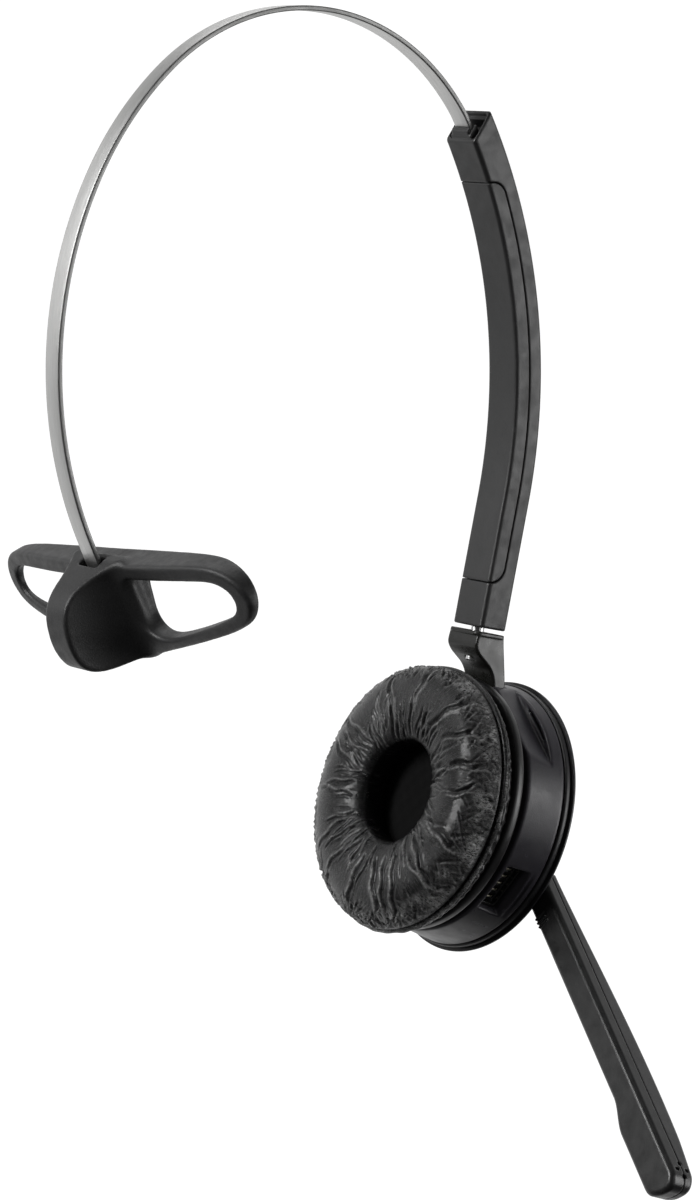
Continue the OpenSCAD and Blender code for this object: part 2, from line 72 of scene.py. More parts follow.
# ---- places
class Place:
    """A local space: an origin and three axes, in millimetres of the row frame."""

    def __init__(self, origin, x_axis, z_axis):
        self.origin = np.array(origin, float)
        x = np.array(x_axis, float) / np.linalg.norm(x_axis)
        z = np.array(z_axis, float) / np.linalg.norm(z_axis)
        self.axes = np.stack([x, np.cross(z, x), z])

    def out(self, points):
        return self.origin + np.asarray(points, float) @ self.axes

    def turned(self, degrees):
        """The same place turned about its own x axis."""
        c, s = cos(radians(degrees)), sin(radians(degrees))
        x_axis, y_axis, z_axis = self.axes
        return Place(self.origin, x_axis, c * z_axis - s * y_axis)


def joint_point(name):
    return np.array(JOINTS[name]["pos_m"]) / MM


def joint_axis(name):
    return np.array(JOINTS[name]["axis"], float)


CUP_AXIS = joint_axis("boom_turn")
CUP_UP = np.array([-CUP_AXIS[2], 0, CUP_AXIS[0]])
CUP = Place((0, 0, 0), CUP_AXIS, CUP_UP)

SWIVEL_UP = joint_axis("arm_swivel")
SWIVEL_OUT = np.array([SWIVEL_UP[2], 0, -SWIVEL_UP[0]])
SWIVEL = Place(joint_point("arm_swivel"), SWIVEL_OUT, SWIVEL_UP)

# The arm: a straight foot, then a curve about the point that the strip slides round
ARM_CENTRE = joint_point("band_slide")
ARM_T = 5.8
ARM_BEND_R = 97.65  # lengths along the arm are taken at this radius
ARM_W = 8.6
ARM_INNER_R = 95
ARM_FOOT = 23.5
ARM_LOW = atan2(SWIVEL_UP[0], SWIVEL_UP[2])
ARM_TOP = radians(27.5)
ARM_LEN = ARM_FOOT + ARM_BEND_R * (ARM_LOW + ARM_TOP)
STRIP_DEPTH = 2


def arm_out(points):
    """From (outward from the inner face, y, up along the arm) to the row frame."""
    p = np.asarray(points, float)
    depth, y, s = p[:, 0], p[:, 1], p[:, 2]
    bend = np.maximum(s - ARM_FOOT, 0) / ARM_BEND_R - ARM_LOW
    straight = np.minimum(s - ARM_FOOT, 0)
    radius = ARM_INNER_R + depth
    x = ARM_CENTRE[0] + radius * np.cos(bend) - straight * np.sin(bend)
    z = ARM_CENTRE[2] + radius * np.sin(bend) + straight * np.cos(bend)
    return np.stack([x, y, z], 1)


# ---- meshes
def linked(name, data):
    """A new object in the scene."""
    made = bpy.data.objects.new(name, data)
    scene.collection.objects.link(made)
    return made


def new_object(name, points, faces, local):
    """A smooth mesh object from millimetre points; local is where each one lies in its own space."""
    mesh = bpy.data.meshes.new(name)
    mesh.from_pydata((np.asarray(points) * MM).tolist(), [], [list(face) for face in faces])
    mesh.update()
    where = mesh.attributes.new("local", "FLOAT_VECTOR", "POINT").data
    where.foreach_set("vector", np.asarray(local, np.float32).ravel())
    mesh.shade_smooth()
    return linked(name, mesh)


def grid_faces(around, rows, closed=False):
    """Quads of a grid of points that closes round the first way, and the second way too if closed."""
    k, j = np.arange(around)[:, None], np.arange(rows if closed else rows - 1)[None]
    here, beside, after = k * rows, (k + 1) % around * rows, (j + 1) % rows
    return np.stack([here + j, beside + j, beside + after, here + after], -1).reshape(-1, 4)


SETTLE_ROUNDS = 3


def surface_net(field, low, step):
    """Points and quads of the zero surface of a grid of distances, by naive surface nets."""
    shape = np.array(field.shape) - 1
    sums, counts = np.zeros((np.prod(shape), 3)), np.zeros(np.prod(shape))
    crossings = []
    for axis in range(3):
        ahead, across, up = np.roll(np.eye(3, dtype=int), -axis, 0)
        idx = np.argwhere(np.diff(field < 0, axis=axis))
        fa, fb = field[tuple(idx.T)], field[tuple((idx + ahead).T)]
        point = idx + ahead * (fa / (fa - fb))[:, None]
        sides = [(axis + 1) % 3, (axis + 2) % 3]
        ok = ((idx[:, sides] > 0) & (idx[:, sides] < shape[sides])).all(1)
        idx, point, starts_in = idx[ok], point[ok], fa[ok] < 0
        cells = []
        for du, dv in ((1, 1), (0, 1), (0, 0), (1, 0)):
            cell = idx - du * across - dv * up
            flat = np.ravel_multi_index(tuple(cell.T), tuple(shape))
            for k in range(3):
                sums[:, k] += np.bincount(flat, point[:, k], len(sums))
            counts += np.bincount(flat, minlength=len(counts))
            cells.append(flat)
        quad = np.stack(cells, 1)
        quad[~starts_in] = quad[~starts_in][:, ::-1]
        crossings.append(quad)
    used = np.flatnonzero(counts)
    index = np.full(len(counts), -1)
    index[used] = np.arange(len(used))
    points = sums[used] / counts[used][:, None] * step + low
    return points, index[np.concatenate(crossings)]


def solid(name, distance, low, high, step, out):
    """A smooth mesh of the space where distance(x, y, z) is negative, in a local space."""
    axes = [np.arange(a - step, b + 2 * step, step) for a, b in zip(low, high)]
    grid = np.meshgrid(*axes, indexing="ij")
    points, quads = surface_net(distance(*grid), np.array([a[0] for a in axes]), step)
    for _ in range(SETTLE_ROUNDS):
        # pull every point onto the true surface along the slope of the distance
        e = step * 0.15
        slope = np.stack([(distance(*(points + d).T) - distance(*(points - d).T)) / (2 * e)
                          for d in np.eye(3) * e], 1)
        size = np.maximum((slope ** 2).sum(1), 0.05)
        move = slope * (distance(*points.T) / size)[:, None]
        points = points - np.clip(move, -0.4 * step, 0.4 * step)
    return new_object(name, out(points), quads, points)


def unit(value):
    """The value, held between 0 and 1."""
    return np.clip(value, 0, 1)


# Signed distances, on arrays
def smooth_min(a, b, k):
    h = unit(0.5 + 0.5 * (b - a) / k)
    return b + (a - b) * h - k * h * (1 - h)


def smooth_max(a, b, k):
    return -smooth_min(-a, -b, k)


def cut(body, tool, k):
    """The body without the tool, its new edges rounded by about k."""
    return smooth_max(body, -tool, k)


def rounded_pair(a, b, r):
    """Intersection of two distances with an edge rounded by r."""
    qa, qb = a + r, b + r
    return np.hypot(np.maximum(qa, 0), np.maximum(qb, 0)) + np.minimum(np.maximum(qa, qb), 0) - r


def box2(x, y, cx, cy, hx, hy, r=0):
    return rounded_pair(abs(x - cx) - hx, abs(y - cy) - hy, r)


def box3(x, y, z, centre, half, r):
    q = [abs(v - c) - h + r for v, c, h in zip((x, y, z), centre, half)]
    outside = np.sqrt(sum(np.maximum(v, 0) ** 2 for v in q))
    return outside + np.minimum(np.maximum.reduce(q), 0) - r


def polygon2(x, y, corners):
    """Distance to a closed outline in a plane, negative inside."""
    best, sign = np.inf, 1
    for (x0, y0), (x1, y1) in zip(corners, np.roll(corners, -1, 0)):
        ex, ey = x1 - x0, y1 - y0
        wx, wy = x - x0, y - y0
        t = unit((wx * ex + wy * ey) / (ex * ex + ey * ey))
        best = np.minimum(best, (wx - ex * t) ** 2 + (wy - ey * t) ** 2)
        above, below, left = y >= y0, y < y1, ex * wy > ey * wx
        sign = np.where((above == below) & (below == left), -sign, sign)
    return sign * np.sqrt(best)


def cubic(a, b, c, d, u):
    """The Catmull-Rom curve from b to c, at u from 0 to 1."""
    bend, twist = 2 * a - 5 * b + 4 * c - d, 3 * b - a - 3 * c + d
    return 0.5 * (2 * b + (c - a) * u + bend * u ** 2 + twist * u ** 3)


def smooth_line(points, count):
    """A smooth open line through a few points, as count points."""
    p = np.asarray(points, float)
    p = np.vstack([2 * p[0] - p[1], p, 2 * p[-1] - p[-2]])
    t = np.linspace(0, len(p) - 3, count)
    i = np.minimum(t.astype(int), len(p) - 4)
    return cubic(p[i], p[i + 1], p[i + 2], p[i + 3], (t - i)[:, None])


def lathe(name, profile, place=CUP, around=192):
    """A solid of revolution about the place's x axis, from closed (x, radius) points."""
    turn = np.linspace(0, 2 * pi, around, endpoint=False)[:, None]
    x, r = profile[:, 0] + 0 * turn, profile[:, 1]
    points = np.stack([x, r * np.cos(turn), r * np.sin(turn)], -1).reshape(-1, 3)
    return new_object(name, place.out(points), grid_faces(around, len(profile), closed=True), points)


def rounded_profile(corners, radii, steps=5):
    """A closed outline with each corner rounded by its radius."""
    corners = np.array(corners, float)
    out = []
    for a, c, b, radius in zip(np.roll(corners, 1, 0), corners, np.roll(corners, -1, 0), radii):
        da, db = a - c, b - c
        la, lb = np.linalg.norm(da), np.linalg.norm(db)
        back = min(radius, la * 0.49, lb * 0.49)
        if back < 1e-6:
            out.append(c)
            continue
        p, q = c + da / la * back, c + db / lb * back
        for t in np.linspace(0, 1, steps):
            out.append((1 - t) ** 2 * p + 2 * t * (1 - t) * c + t * t * q)
    return np.array(out)


def sweep(name, path, normals, outline, lengths):
    """A bar along a path; outline gives (along normal, along Y) points."""
    n = len(outline)
    side = np.array([0, 1, 0])
    rings = path[:, None] + outline[None, :, :1] * normals[:, None] + outline[None, :, 1:] * side
    quads = [(i * n + j, (i + 1) * n + j, (i + 1) * n + (j + 1) % n, i * n + (j + 1) % n)
             for i in range(len(path) - 1) for j in range(n)]
    ends = [tuple(range(n)), tuple((len(path) - 1) * n + j for j in range(n))[::-1]]
    local = [(a, b, length) for length in lengths for a, b in outline]
    return new_object(name, rings.reshape(-1, 3), quads + ends, local)


# ---- materials
class Nodes:
    """A node tree while it is put together; an input is a value or another node's output."""

    def __init__(self, tree):
        self.tree = tree

    def put(self, socket, value):
        if isinstance(value, bpy.types.NodeSocket):
            self.tree.links.new(value, socket)
        else:
            socket.default_value = value

    def node(self, kind, inputs=(), out=0, **settings):
        made = self.tree.nodes.new("ShaderNode" + kind)
        for key, value in settings.items():
            setattr(made, key, value)
        for key, value in dict(inputs).items():
            self.put(made.inputs[key], value)
        return made.outputs[out]

    def remap(self, value, low, high, to_low=0, to_high=1):
        return self.node("MapRange", {"Value": value, "From Min": low, "From Max": high,
                                      "To Min": to_low, "To Max": to_high})

    def spread(self, noise, low=0, high=1):
        """The usual span of a noise, from low to high."""
        return self.remap(noise, 0.3, 0.7, low, high)

    def math(self, operation, a, b=0):
        return self.node("Math", {0: a, 1: b}, operation=operation)

    def times(self, a, b):
        return self.math("MULTIPLY", a, b)

    def plus(self, a, b):
        return self.math("ADD", a, b)


class Recipe(Nodes):
    """A procedural material while its nodes are put together."""

    def __init__(self, name, colour, roughness, **sockets):
        self.material = bpy.data.materials.new(name)
        self.colour = colour
        self.material.use_nodes = True
        super().__init__(self.material.node_tree)
        self.shader = self.tree.nodes["Principled BSDF"]
        self.set("Base Color", (*colour, 1))
        self.set("Roughness", roughness)
        for socket, value in sockets.items():
            self.set(socket.replace("_", " ").title().replace("Ior", "IOR"), value)

    def set(self, socket, value):
        self.put(self.shader.inputs[socket], value)

    def mm(self):
        """Row frame position in millimetres."""
        point = self.node("TexCoord", out="Object")
        return self.node("VectorMath", {0: point, 3: 1 / MM}, operation="SCALE")

    def local(self):
        """Position in the piece's own space, in millimetres."""
        return self.node("Attribute", out="Vector", attribute_name="local")

    def mask(self, name):
        """A value from 0 to 1 kept on the mesh's points."""
        return self.node("Attribute", out="Fac", attribute_name=name)

    def stretch(self, point, scale):
        return self.node("VectorMath", {0: point, 1: scale}, operation="MULTIPLY")

    def noise(self, point, size, detail=3, rough=0.55, distortion=0):
        """Noise from 0 to 1 with features of about that size in millimetres."""
        return self.node("TexNoise", {"Vector": point, "Scale": 1 / size, "Detail": detail,
                                      "Roughness": rough, "Distortion": distortion})

    def cells(self, point, size):
        return self.node("TexVoronoi", {"Vector": point, "Scale": 1 / size})

    def mix(self, factor, a, b):
        """A colour between a and b."""
        a, b = (c if isinstance(c, bpy.types.NodeSocket) else (*c, 1) for c in (a, b))
        return self.node("Mix", {0: factor, 6: a, 7: b}, out=2, data_type="RGBA")

    def shade(self, factor):
        return tuple(c * factor for c in self.colour)

    def shades(self, factor, dark, light):
        """The recipe's colour from a dark to a light shade of it."""
        return self.mix(factor, self.shade(dark), self.shade(light))

    def edges(self, low=0.52, high=0.62):
        """Near 1 on convex edges, 0 on flats and in corners."""
        return self.remap(self.node("NewGeometry", out="Pointiness"), low, high)

    def bump(self, height, depth, under=None):
        """Height from 0 to 1, depth in millimetres."""
        inputs = {"Strength": 1, "Distance": depth * MM, "Height": height}
        if under is not None:
            inputs["Normal"] = under
        made = self.node("Bump", inputs)
        self.set("Normal", made)
        return made


def moulded_plastic(name, colour, roughness, depth=0.012, grain=0.22):
    """Injection-moulded plastic: eroded grain, faint flow marks, convex edges painted lighter as a highlight
    and rubbed smoother.
    """
    r = Recipe(name, colour, roughness)
    mm = r.mm()
    flow, speck = r.noise(mm, 9, 2), r.noise(mm, 0.35, 2)
    tone = r.remap(r.plus(r.times(flow, 0.6), r.times(speck, 0.4)), 0.35, 0.65)
    base = r.shades(tone, 0.82, 1.18)
    # painted highlight: convex edges are lightened in colour; their roughness is lowered below as if rubbed
    edge = r.times(r.edges(), r.remap(r.noise(mm, 1.6), 0.35, 0.6, 0.25))
    r.set("Base Color", r.mix(r.times(edge, 0.35), base, r.shade(4)))
    rough = r.spread(r.noise(mm, 2.4), roughness - 0.06, roughness + 0.07)
    r.set("Roughness", r.math("SUBTRACT", rough, r.times(edge, 0.12)))
    pits, fine = r.cells(mm, grain), r.noise(mm, grain * 0.6, 2)
    r.bump(r.plus(r.times(pits, 0.6), r.times(fine, 0.6)), depth)
    return r.material


def rubber(name, colour):
    """Matte moulded rubber: a velvety skin with faint dust in it, and a highlight painted along its edges."""
    r = Recipe(name, colour, 0.5, specular_ior_level=0.4)
    mm = r.mm()
    dust = r.times(r.remap(r.noise(mm, 0.5, 4, 0.7), 0.52, 0.75),
                   r.remap(r.noise(mm, 7), 0.4, 0.65, 0.2))
    cloud = r.spread(r.noise(mm, 12, 2))
    base = r.shades(cloud, 0.85, 1.2)
    dusty = r.mix(r.times(dust, 0.35), base, r.shade(2.6))
    # painted highlight: convex edges lightened in colour
    r.set("Base Color", r.mix(r.times(r.edges(0.51, 0.6), 0.5), dusty, r.shade(2)))
    r.set("Roughness", r.spread(r.noise(mm, 1.8), 0.4, 0.56))
    r.bump(r.plus(r.cells(mm, 0.28), r.noise(mm, 0.2, 2)), 0.014)
    return r.material


def brushed_steel():
    """Satin spring steel, brushed along the strip, with rougher rims painted dark as shade, and faint slide
    marks.
    """
    r = Recipe("brushed_steel", (0.66, 0.66, 0.65), 0.3, metallic=1)
    place = r.local()
    streak = r.noise(r.stretch(place, (9, 14, 0.22)), 1, 4, 0.6)
    hair = r.noise(r.stretch(place, (20, 40, 0.5)), 1, 2, 0.5)
    scuff = r.remap(r.noise(r.stretch(place, (1, 1.6, 0.12)), 1, 2), 0.4, 0.7)
    tone = r.mix(r.spread(streak), (0.5, 0.5, 0.495), (0.66, 0.66, 0.65))
    side = r.node("SeparateXYZ", {"Vector": place}, out="Y")
    # painted shade: the rounded side edges are darkened in colour, and made rougher below
    rim = r.remap(r.math("ABSOLUTE", side), STRIP_W / 2 - 0.3, STRIP_W / 2 - 0.12)
    r.set("Base Color", r.mix(rim, tone, (0.24, 0.24, 0.237)))
    satin = r.plus(r.spread(hair, 0.3, 0.44), r.times(scuff, 0.06))
    r.set("Roughness", r.plus(satin, r.times(rim, 0.12)))
    r.bump(r.plus(streak, r.times(hair, 0.6)), 0.006)
    return r.material


def turned_metal(name, colour, roughness=0.28):
    """Small turned or plated metal parts."""
    r = Recipe(name, colour, roughness, metallic=1)
    mm = r.mm()
    r.set("Base Color", r.shades(r.noise(mm, 0.8), 0.8, 1))
    lines = r.noise(r.stretch(mm, (1, 1, 8)), 0.5)
    r.set("Roughness", r.spread(lines, roughness - 0.08, roughness + 0.1))
    r.bump(r.noise(mm, 0.15, 2), 0.004)
    return r.material


def film(name, colour, roughness, scale=0.6, depth=0.01, **sockets):
    """Thin smooth things: solder mask, foil pouch, plastic film."""
    r = Recipe(name, colour, roughness, **sockets)
    mm = r.mm()
    r.set("Base Color", r.shades(r.noise(mm, scale * 2), 0.8, 1.15))
    r.set("Roughness", r.spread(r.noise(mm, scale), roughness - 0.08, roughness + 0.1))
    r.bump(r.noise(mm, scale), depth)
    return r.material


def leatherette():
    """Black artificial leather: pebble grain, hairline crinkles, and highlights painted pale along its crease
    lips and the belt's crinkles.
    """
    r = Recipe("leatherette", (0.0035, 0.0035, 0.0037), 0.3,
               specular_ior_level=0.35, coat_weight=0.2, coat_roughness=0.12)
    place = r.local()  # x along the cup's axis, y radius, z length round the ring
    mm = r.mm()
    belt, ridge = r.mask("belt"), r.mask("ridge")
    crinkle = r.noise(r.stretch(place, (0.9, 0.9, 2.8)), 0.9, 5, 0.65, 0.6)
    line = r.remap(r.math("ABSOLUTE", r.math("SUBTRACT", crinkle, 0.5)), 0, 0.1, 1, 0)
    rays = r.noise(r.stretch(place, (0.16, 0.16, 2.6)), 0.8, 3, 0.6, 0.3)
    ray = r.remap(r.math("ABSOLUTE", r.math("SUBTRACT", rays, 0.52)), 0, 0.012, 1, 0)
    patch = r.remap(r.noise(mm, 3.2, 2), 0.45, 0.62)
    # painted highlights: crease lips and radial folds lightened in patches, and glints along the belt's
    # crinkles, mixed into the colour below
    crease_highlight = r.times(r.math("MAXIMUM", ridge, r.times(ray, 0.5)),
                   r.remap(r.noise(mm, 0.7, 4, 0.7), 0.38, 0.6, 0.15))
    belt_glint = r.times(belt, r.times(line, r.remap(patch, 0, 1, 0.2)))
    base = r.shades(r.noise(mm, 4), 0.7, 1.6)
    pale = r.math("MAXIMUM", r.times(crease_highlight, 0.38), r.times(belt_glint, 0.8))
    r.set("Base Color", r.mix(pale, base, (0.8, 0.8, 0.795)))
    rough = r.spread(r.noise(mm, 1.5), 0.24, 0.36)
    r.set("Roughness", r.math("SUBTRACT", rough, r.times(belt, 0.08)))
    soft = r.bump(r.cells(mm, 0.32), 0.012)
    lines = r.bump(r.times(line, r.remap(belt, 0, 1, 0.2)), 0.07, soft)
    folds = r.bump(r.times(ray, 0.6), 0.04, lines)
    puckers = r.noise(r.stretch(place, (0.7, 0.7, 2.4)), 0.5, 4, 0.7, 0.8)
    r.bump(r.times(puckers, belt), 0.3, folds)
    return r.material


WARP_PITCH, WEFT_PITCH = 0.21, 0.24


def woven_cloth():
    """Plain-woven acoustic cloth, threads about a fifth of a millimetre apart."""
    r = Recipe("acoustic_cloth", (0.0035, 0.0035, 0.0036), 0.9,
               specular_ior_level=0.2, sheen_weight=0.04, sheen_roughness=0.4)
    threads = (1, 2 * pi / WARP_PITCH, 2 * pi / WEFT_PITCH)
    place = r.node("Mapping", {"Vector": r.local(), "Scale": threads})
    split = r.node("SeparateXYZ", {"Vector": place}).node.outputs
    over = r.times(r.math("SINE", split["Y"]), r.math("SINE", split["Z"]))
    height = r.plus(r.times(over, 0.5), 0.5)
    fuzz = r.noise(r.mm(), 0.6, 4)
    # painted shade: the threads' low points are darkened in colour and their crests lightened
    r.set("Base Color", r.mix(height, r.shade(0.4), r.shades(fuzz, 1, 3)))
    r.bump(height, 0.06)
    return r.material


STRIP_W = 4.2
STRIP_T = 0.9

# Colour and roughness, then the grain's depth and size where they aren't the usual ones
PLASTICS = {
    "core_plastic": ((0.07, 0.07, 0.075), 0.5),
    "arm_plastic": ((0.02, 0.02, 0.0205), 0.42),
    "cover_plastic": ((0.024, 0.024, 0.0245), 0.44),
    "yoke_plastic": ((0.012, 0.012, 0.0105), 0.3, 0.005),
    "plate_plastic": ((0.014, 0.014, 0.0145), 0.36),
    "foam": ((0.03, 0.03, 0.03), 0.9, 0.08, 0.5),
    "housing_plastic": ((0.036, 0.034, 0.041), 0.36),
    "contact_plastic": ((0.01, 0.01, 0.01), 0.25, 0.004),
    "outer_plastic": ((0.022, 0.022, 0.0235), 0.4),
    "button_plastic": ((0.02, 0.02, 0.022), 0.38),
    "rim_plastic": ((0.03, 0.03, 0.032), 0.36),
    # boom_dark and boom_grey are the boom's one plastic as shaded and lit copies: the darker colour is
    # painted shade
    "boom_dark": ((0.014, 0.014, 0.014), 0.34, 0.006),
    "boom_grey": ((0.03, 0.03, 0.0305), 0.38),
}
METALS = {
    "bright_steel": ((0.7, 0.7, 0.7),),
    "bearing_bronze": ((0.55, 0.42, 0.25), 0.4),
    "driver_metal": ((0.16, 0.16, 0.165), 0.4),
    "contact_gold": ((0.95, 0.9, 0.74), 0.38),
    "mic_metal": ((0.7, 0.7, 0.7),),
}
MATERIALS = {
    "spring_steel": brushed_steel(),
    "pad_rubber": rubber("pad_rubber", (0.026, 0.026, 0.0265)),
    "leatherette": leatherette(),
    "cloth": woven_cloth(),
    "mylar": film("mylar", (0.6, 0.55, 0.4), 0.2, transmission_weight=0.3),
    "battery_foil": film("battery_foil", (0.55, 0.56, 0.58), 0.35, 1.5, 0.05, metallic=1),
    "board_green": film("board_green", (0.02, 0.12, 0.05), 0.3),
    "light_lens": film("light_lens", (0.6, 0.75, 0.6), 0.3, transmission_weight=0.5),
    "flex_amber": film("flex_amber", (0.5, 0.25, 0.06), 0.3),
    **{name: moulded_plastic(name, *look) for name, look in PLASTICS.items()},
    **{name: turned_metal(name, *look) for name, look in METALS.items()},
}
SLOTS = {part["node"]: part["material_slot"] for part in frame["record"]["subparts"]}
BODIES = {node: body for body, nodes in frame["record"]["behaviour"]["bodies"].items() for node in nodes}


def coat(piece, slot):
    piece.data.materials.clear()
    piece.data.materials.append(MATERIALS[slot])


def stands_for(piece, *nodes):
    """The piece, its faces outward, replaces these CAD nodes and takes their body and material."""
    slot = SLOTS[nodes[0]]
    shape = bmesh.new()
    shape.from_mesh(piece.data)
    if shape.calc_volume(signed=True) < 0:
        piece.data.flip_normals()
    shape.free()
    coat(piece, slot)
    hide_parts(*nodes)
    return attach(piece, BODIES[nodes[0]])


def turned_part(node, name, corners, radii, steps=5, place=CUP, around=192):
    """A lathe piece for a node; radii round the corners of its outline."""
    stands_for(lathe(name, rounded_profile(corners, radii, steps), place, around), node)


# ---- headband
STRIP_R = ARM_INNER_R + STRIP_DEPTH
STRIP_INSIDE = 37  # degrees of strip inside the arm
STRIP_TAIL = 13
STRIP_MOUTH = 28  # degrees above the centre of the arm's curve
STRIP_ARCS = [(14, 6), (41.4, 95.9), (59.1, 22.2), (70.1, 51.3)]  # radius, degrees, from the mouth on
STRIP_STEP = 0.6  # degrees
TAIL_STEPS = 8


def inward_of(heading):
    return np.array([-sin(heading), 0, cos(heading)])


def strip_path():
    """Points, inward normals and lengths along the strip, from inside the arm to its tail."""
    heading = radians(90 + STRIP_MOUTH - STRIP_INSIDE)
    normals = [inward_of(heading)]
    points = [ARM_CENTRE - STRIP_R * normals[0]]
    for radius, degrees in [(STRIP_R, STRIP_INSIDE), *STRIP_ARCS]:
        centre = points[-1] + radius * normals[-1]
        steps = ceil(degrees / STRIP_STEP)
        for k in range(1, steps + 1):
            normals.append(inward_of(heading + radians(degrees) * k / steps))
            points.append(centre - radius * normals[-1])
        heading += radians(degrees)
    along = np.array([cos(heading), 0, sin(heading)])
    for _ in range(TAIL_STEPS):
        points.append(points[-1] + along * STRIP_TAIL / TAIL_STEPS)
        normals.append(normals[-1])
    points = np.array(points)
    lengths = np.concatenate([[0], np.cumsum(np.linalg.norm(np.diff(points, axis=0), axis=1))])
    return points, np.array(normals), lengths, along


BAND, BAND_NORMALS, BAND_LENGTHS, PAD_DOWN = strip_path()
PAD = Place(BAND[-1] - PAD_DOWN * STRIP_TAIL, -BAND_NORMALS[-1], PAD_DOWN)


def headband_strip():
    t, w = STRIP_T / 2, STRIP_W / 2
    outline = rounded_profile([(t, -w), (t, w), (-t, w), (-t, -w)], [0.3] * 4)
    stands_for(sweep("headband_spring", BAND, BAND_NORMALS, outline, BAND_LENGTHS), "headband_strip")


PAD_WRAP_R = 230
PAD_ROLL = radians(4.5)  # the wings lie a little off square to the strip
PAD_OUTLINE = [(-6, 4.5), (0, 4.5), (16, 4.45), (28, 4.6), (34, 5.5), (38, 8), (39.3, 11.4),
               (37.6, 14.6), (33, 16.6), (24, 18.5), (12.6, 20.5), (4, 22), (-6, 22.6)]
PAD_LOOP = [(9, 9.2), (15, 9.3), (24, 9.35), (30.6, 9.6), (33.3, 10.6), (33, 11.8),
            (29, 13.2), (19, 15.4), (12.6, 16.2), (9.5, 15), (9, 12)]
PAD_LOOP_ROUND = 2  # the loop's outline is grown by this, so its corners are round
PAD_MIDDLE_Z = 12  # the wings turn about this height
KEEL_PROFILE = [(-2, 3.4), (0.5, 3.7), (4, 4.5), (7.8, 5.9), (10.3, 8.4), (11.4, 12.4), (11.2, 16.4),
                (9.5, 19.4), (5.4, 21), (-2, 21)]


def pad_distance(x, y, z):
    """Temple pad: two looped wings and a rounded keel, in pad space."""
    c, s = cos(PAD_ROLL), sin(PAD_ROLL)
    up = z - PAD_MIDDLE_Z
    side, down = abs(c * y + s * up), PAD_MIDDLE_Z - s * y + c * up
    outline = polygon2(side, down, smooth_line(PAD_OUTLINE, 60))
    loop = polygon2(side, down, smooth_line([*PAD_LOOP, PAD_LOOP[0]], 50)[:-1]) - PAD_LOOP_ROUND
    outer = np.hypot(x + PAD_WRAP_R, y) - PAD_WRAP_R
    inner = (-6.4 + 0.2 * (z - 4.4) - x) * 0.98
    wings = rounded_pair(cut(outline, loop, 0.5), smooth_max(outer, inner, 0.9), 0.7)
    profile = polygon2(x, z, smooth_line(KEEL_PROFILE, 60))
    t = unit((x + 1) / 12)
    flank = abs(y) - (3.2 + 4.4 * (1 - t) ** 2.4)
    keel = rounded_pair(profile, flank * 0.92, 0.55)
    body = smooth_min(wings, keel, 1.8)
    pocket = box3(x, y, z, (0.1, 0, 2), (1.3, STRIP_W / 2 + 0.7, 6), 0.3)
    core = box3(x, y, z, (0, 0, 11), (1.15, 3.45, 5.45), 0.1)
    return cut(cut(body, pocket, 0.4), core, 0.2)


def temple_pad():
    pad = solid("temple_rest", pad_distance, (-7, -40, 0.8), (12, 40, 24), 0.36, PAD.out)
    stands_for(pad, "temple_pad")


# ---- arm
ARM_SEAM_LOW = 8.2  # the cover's ends, along the arm
ARM_SEAM_TOP = 81.9
FLANGE = 2.9  # how far the cover reaches round the sides
FLANGE_STEP = 0.13  # the cover's sides lie this far inside the shell's
MOUTH_SLANT = tan(radians(28))


def past_mouth(d, s):
    """How far along the arm a point is past the slanting mouth."""
    return s - (ARM_LEN - 1.4) - (d - 1.6) * MOUTH_SLANT


def arm_blank(d, y, s, inset, edge):
    sides = box2(d, y, ARM_T / 2, 0, ARM_T / 2, ARM_W / 2 - inset, edge)
    return rounded_pair(sides, np.maximum(past_mouth(d, s) * 0.9, -s), 0.35)


def cover_region(d, s, gap):
    half = (ARM_SEAM_TOP - ARM_SEAM_LOW) / 2
    return box2(d, s, -6, ARM_SEAM_LOW + half, 6 + FLANGE + gap * 0.1, half + gap, 3)


def arm_shell_distance(d, y, s):
    body = arm_blank(d, y, s, 0, 0.75)
    body = cut(body, cover_region(d, s, 0.15), 0.12)
    mouth = past_mouth(d, s)
    # a rim, a step down inside it, the cavity behind the strip, and a collar in front of and beside it
    step = rounded_pair(box2(d, y, 2.9, 0, 2.35, ARM_W / 2 - 0.55, 0.9), -(mouth + 0.7), 0.15)
    hollow = rounded_pair(box2(d, y, 3.1, 0, 1.7, ARM_W / 2 - 1.25, 0.5), -(mouth + 2.4), 0.15)
    collar = np.minimum(box3(d, y, mouth, (1.05, 0, -0.8), (0.42, STRIP_W / 2 + 0.3, 2.1), 0.15),
                        box3(d, y, mouth, (1.6, 0, -1.2), (1.1, STRIP_W / 2 + 0.75, 1.7), 0.2))
    slot = box2(d, y, STRIP_DEPTH + 0.05, 0, 0.62, STRIP_W / 2 + 0.15, 0.15)
    channel = box2(d, y, STRIP_DEPTH + 0.05, 0, 0.75, STRIP_W / 2 + 0.25, 0.15)
    channel = np.maximum(channel, ARM_SEAM_TOP - 3 - s)
    bore = np.maximum(np.hypot(d - 2.65, y) - 1.76, s - 5.1)
    spring = box3(d, y, s, (FLANGE + 0.3, 0, 65.5), (0.85, 1.8, 7.2), 0.2)
    out = cut(body, np.minimum(np.minimum(hollow, step), channel), 0.25)
    out = np.minimum(out, cut(collar, slot, 0.1))
    return cut(cut(out, bore, 0.15), spring, 0.1)


def arm_cover_distance(d, y, s):
    body = arm_blank(d, y, s, FLANGE_STEP, 0.6)
    body = smooth_max(body, cover_region(d, s, -0.02), 0.12)
    inside = box3(d, y, s, (FLANGE, 0, 44), (FLANGE - 1.3, ARM_W / 2 - 1.05, 33.6), 0.2)
    return cut(body, inside, 0.1)


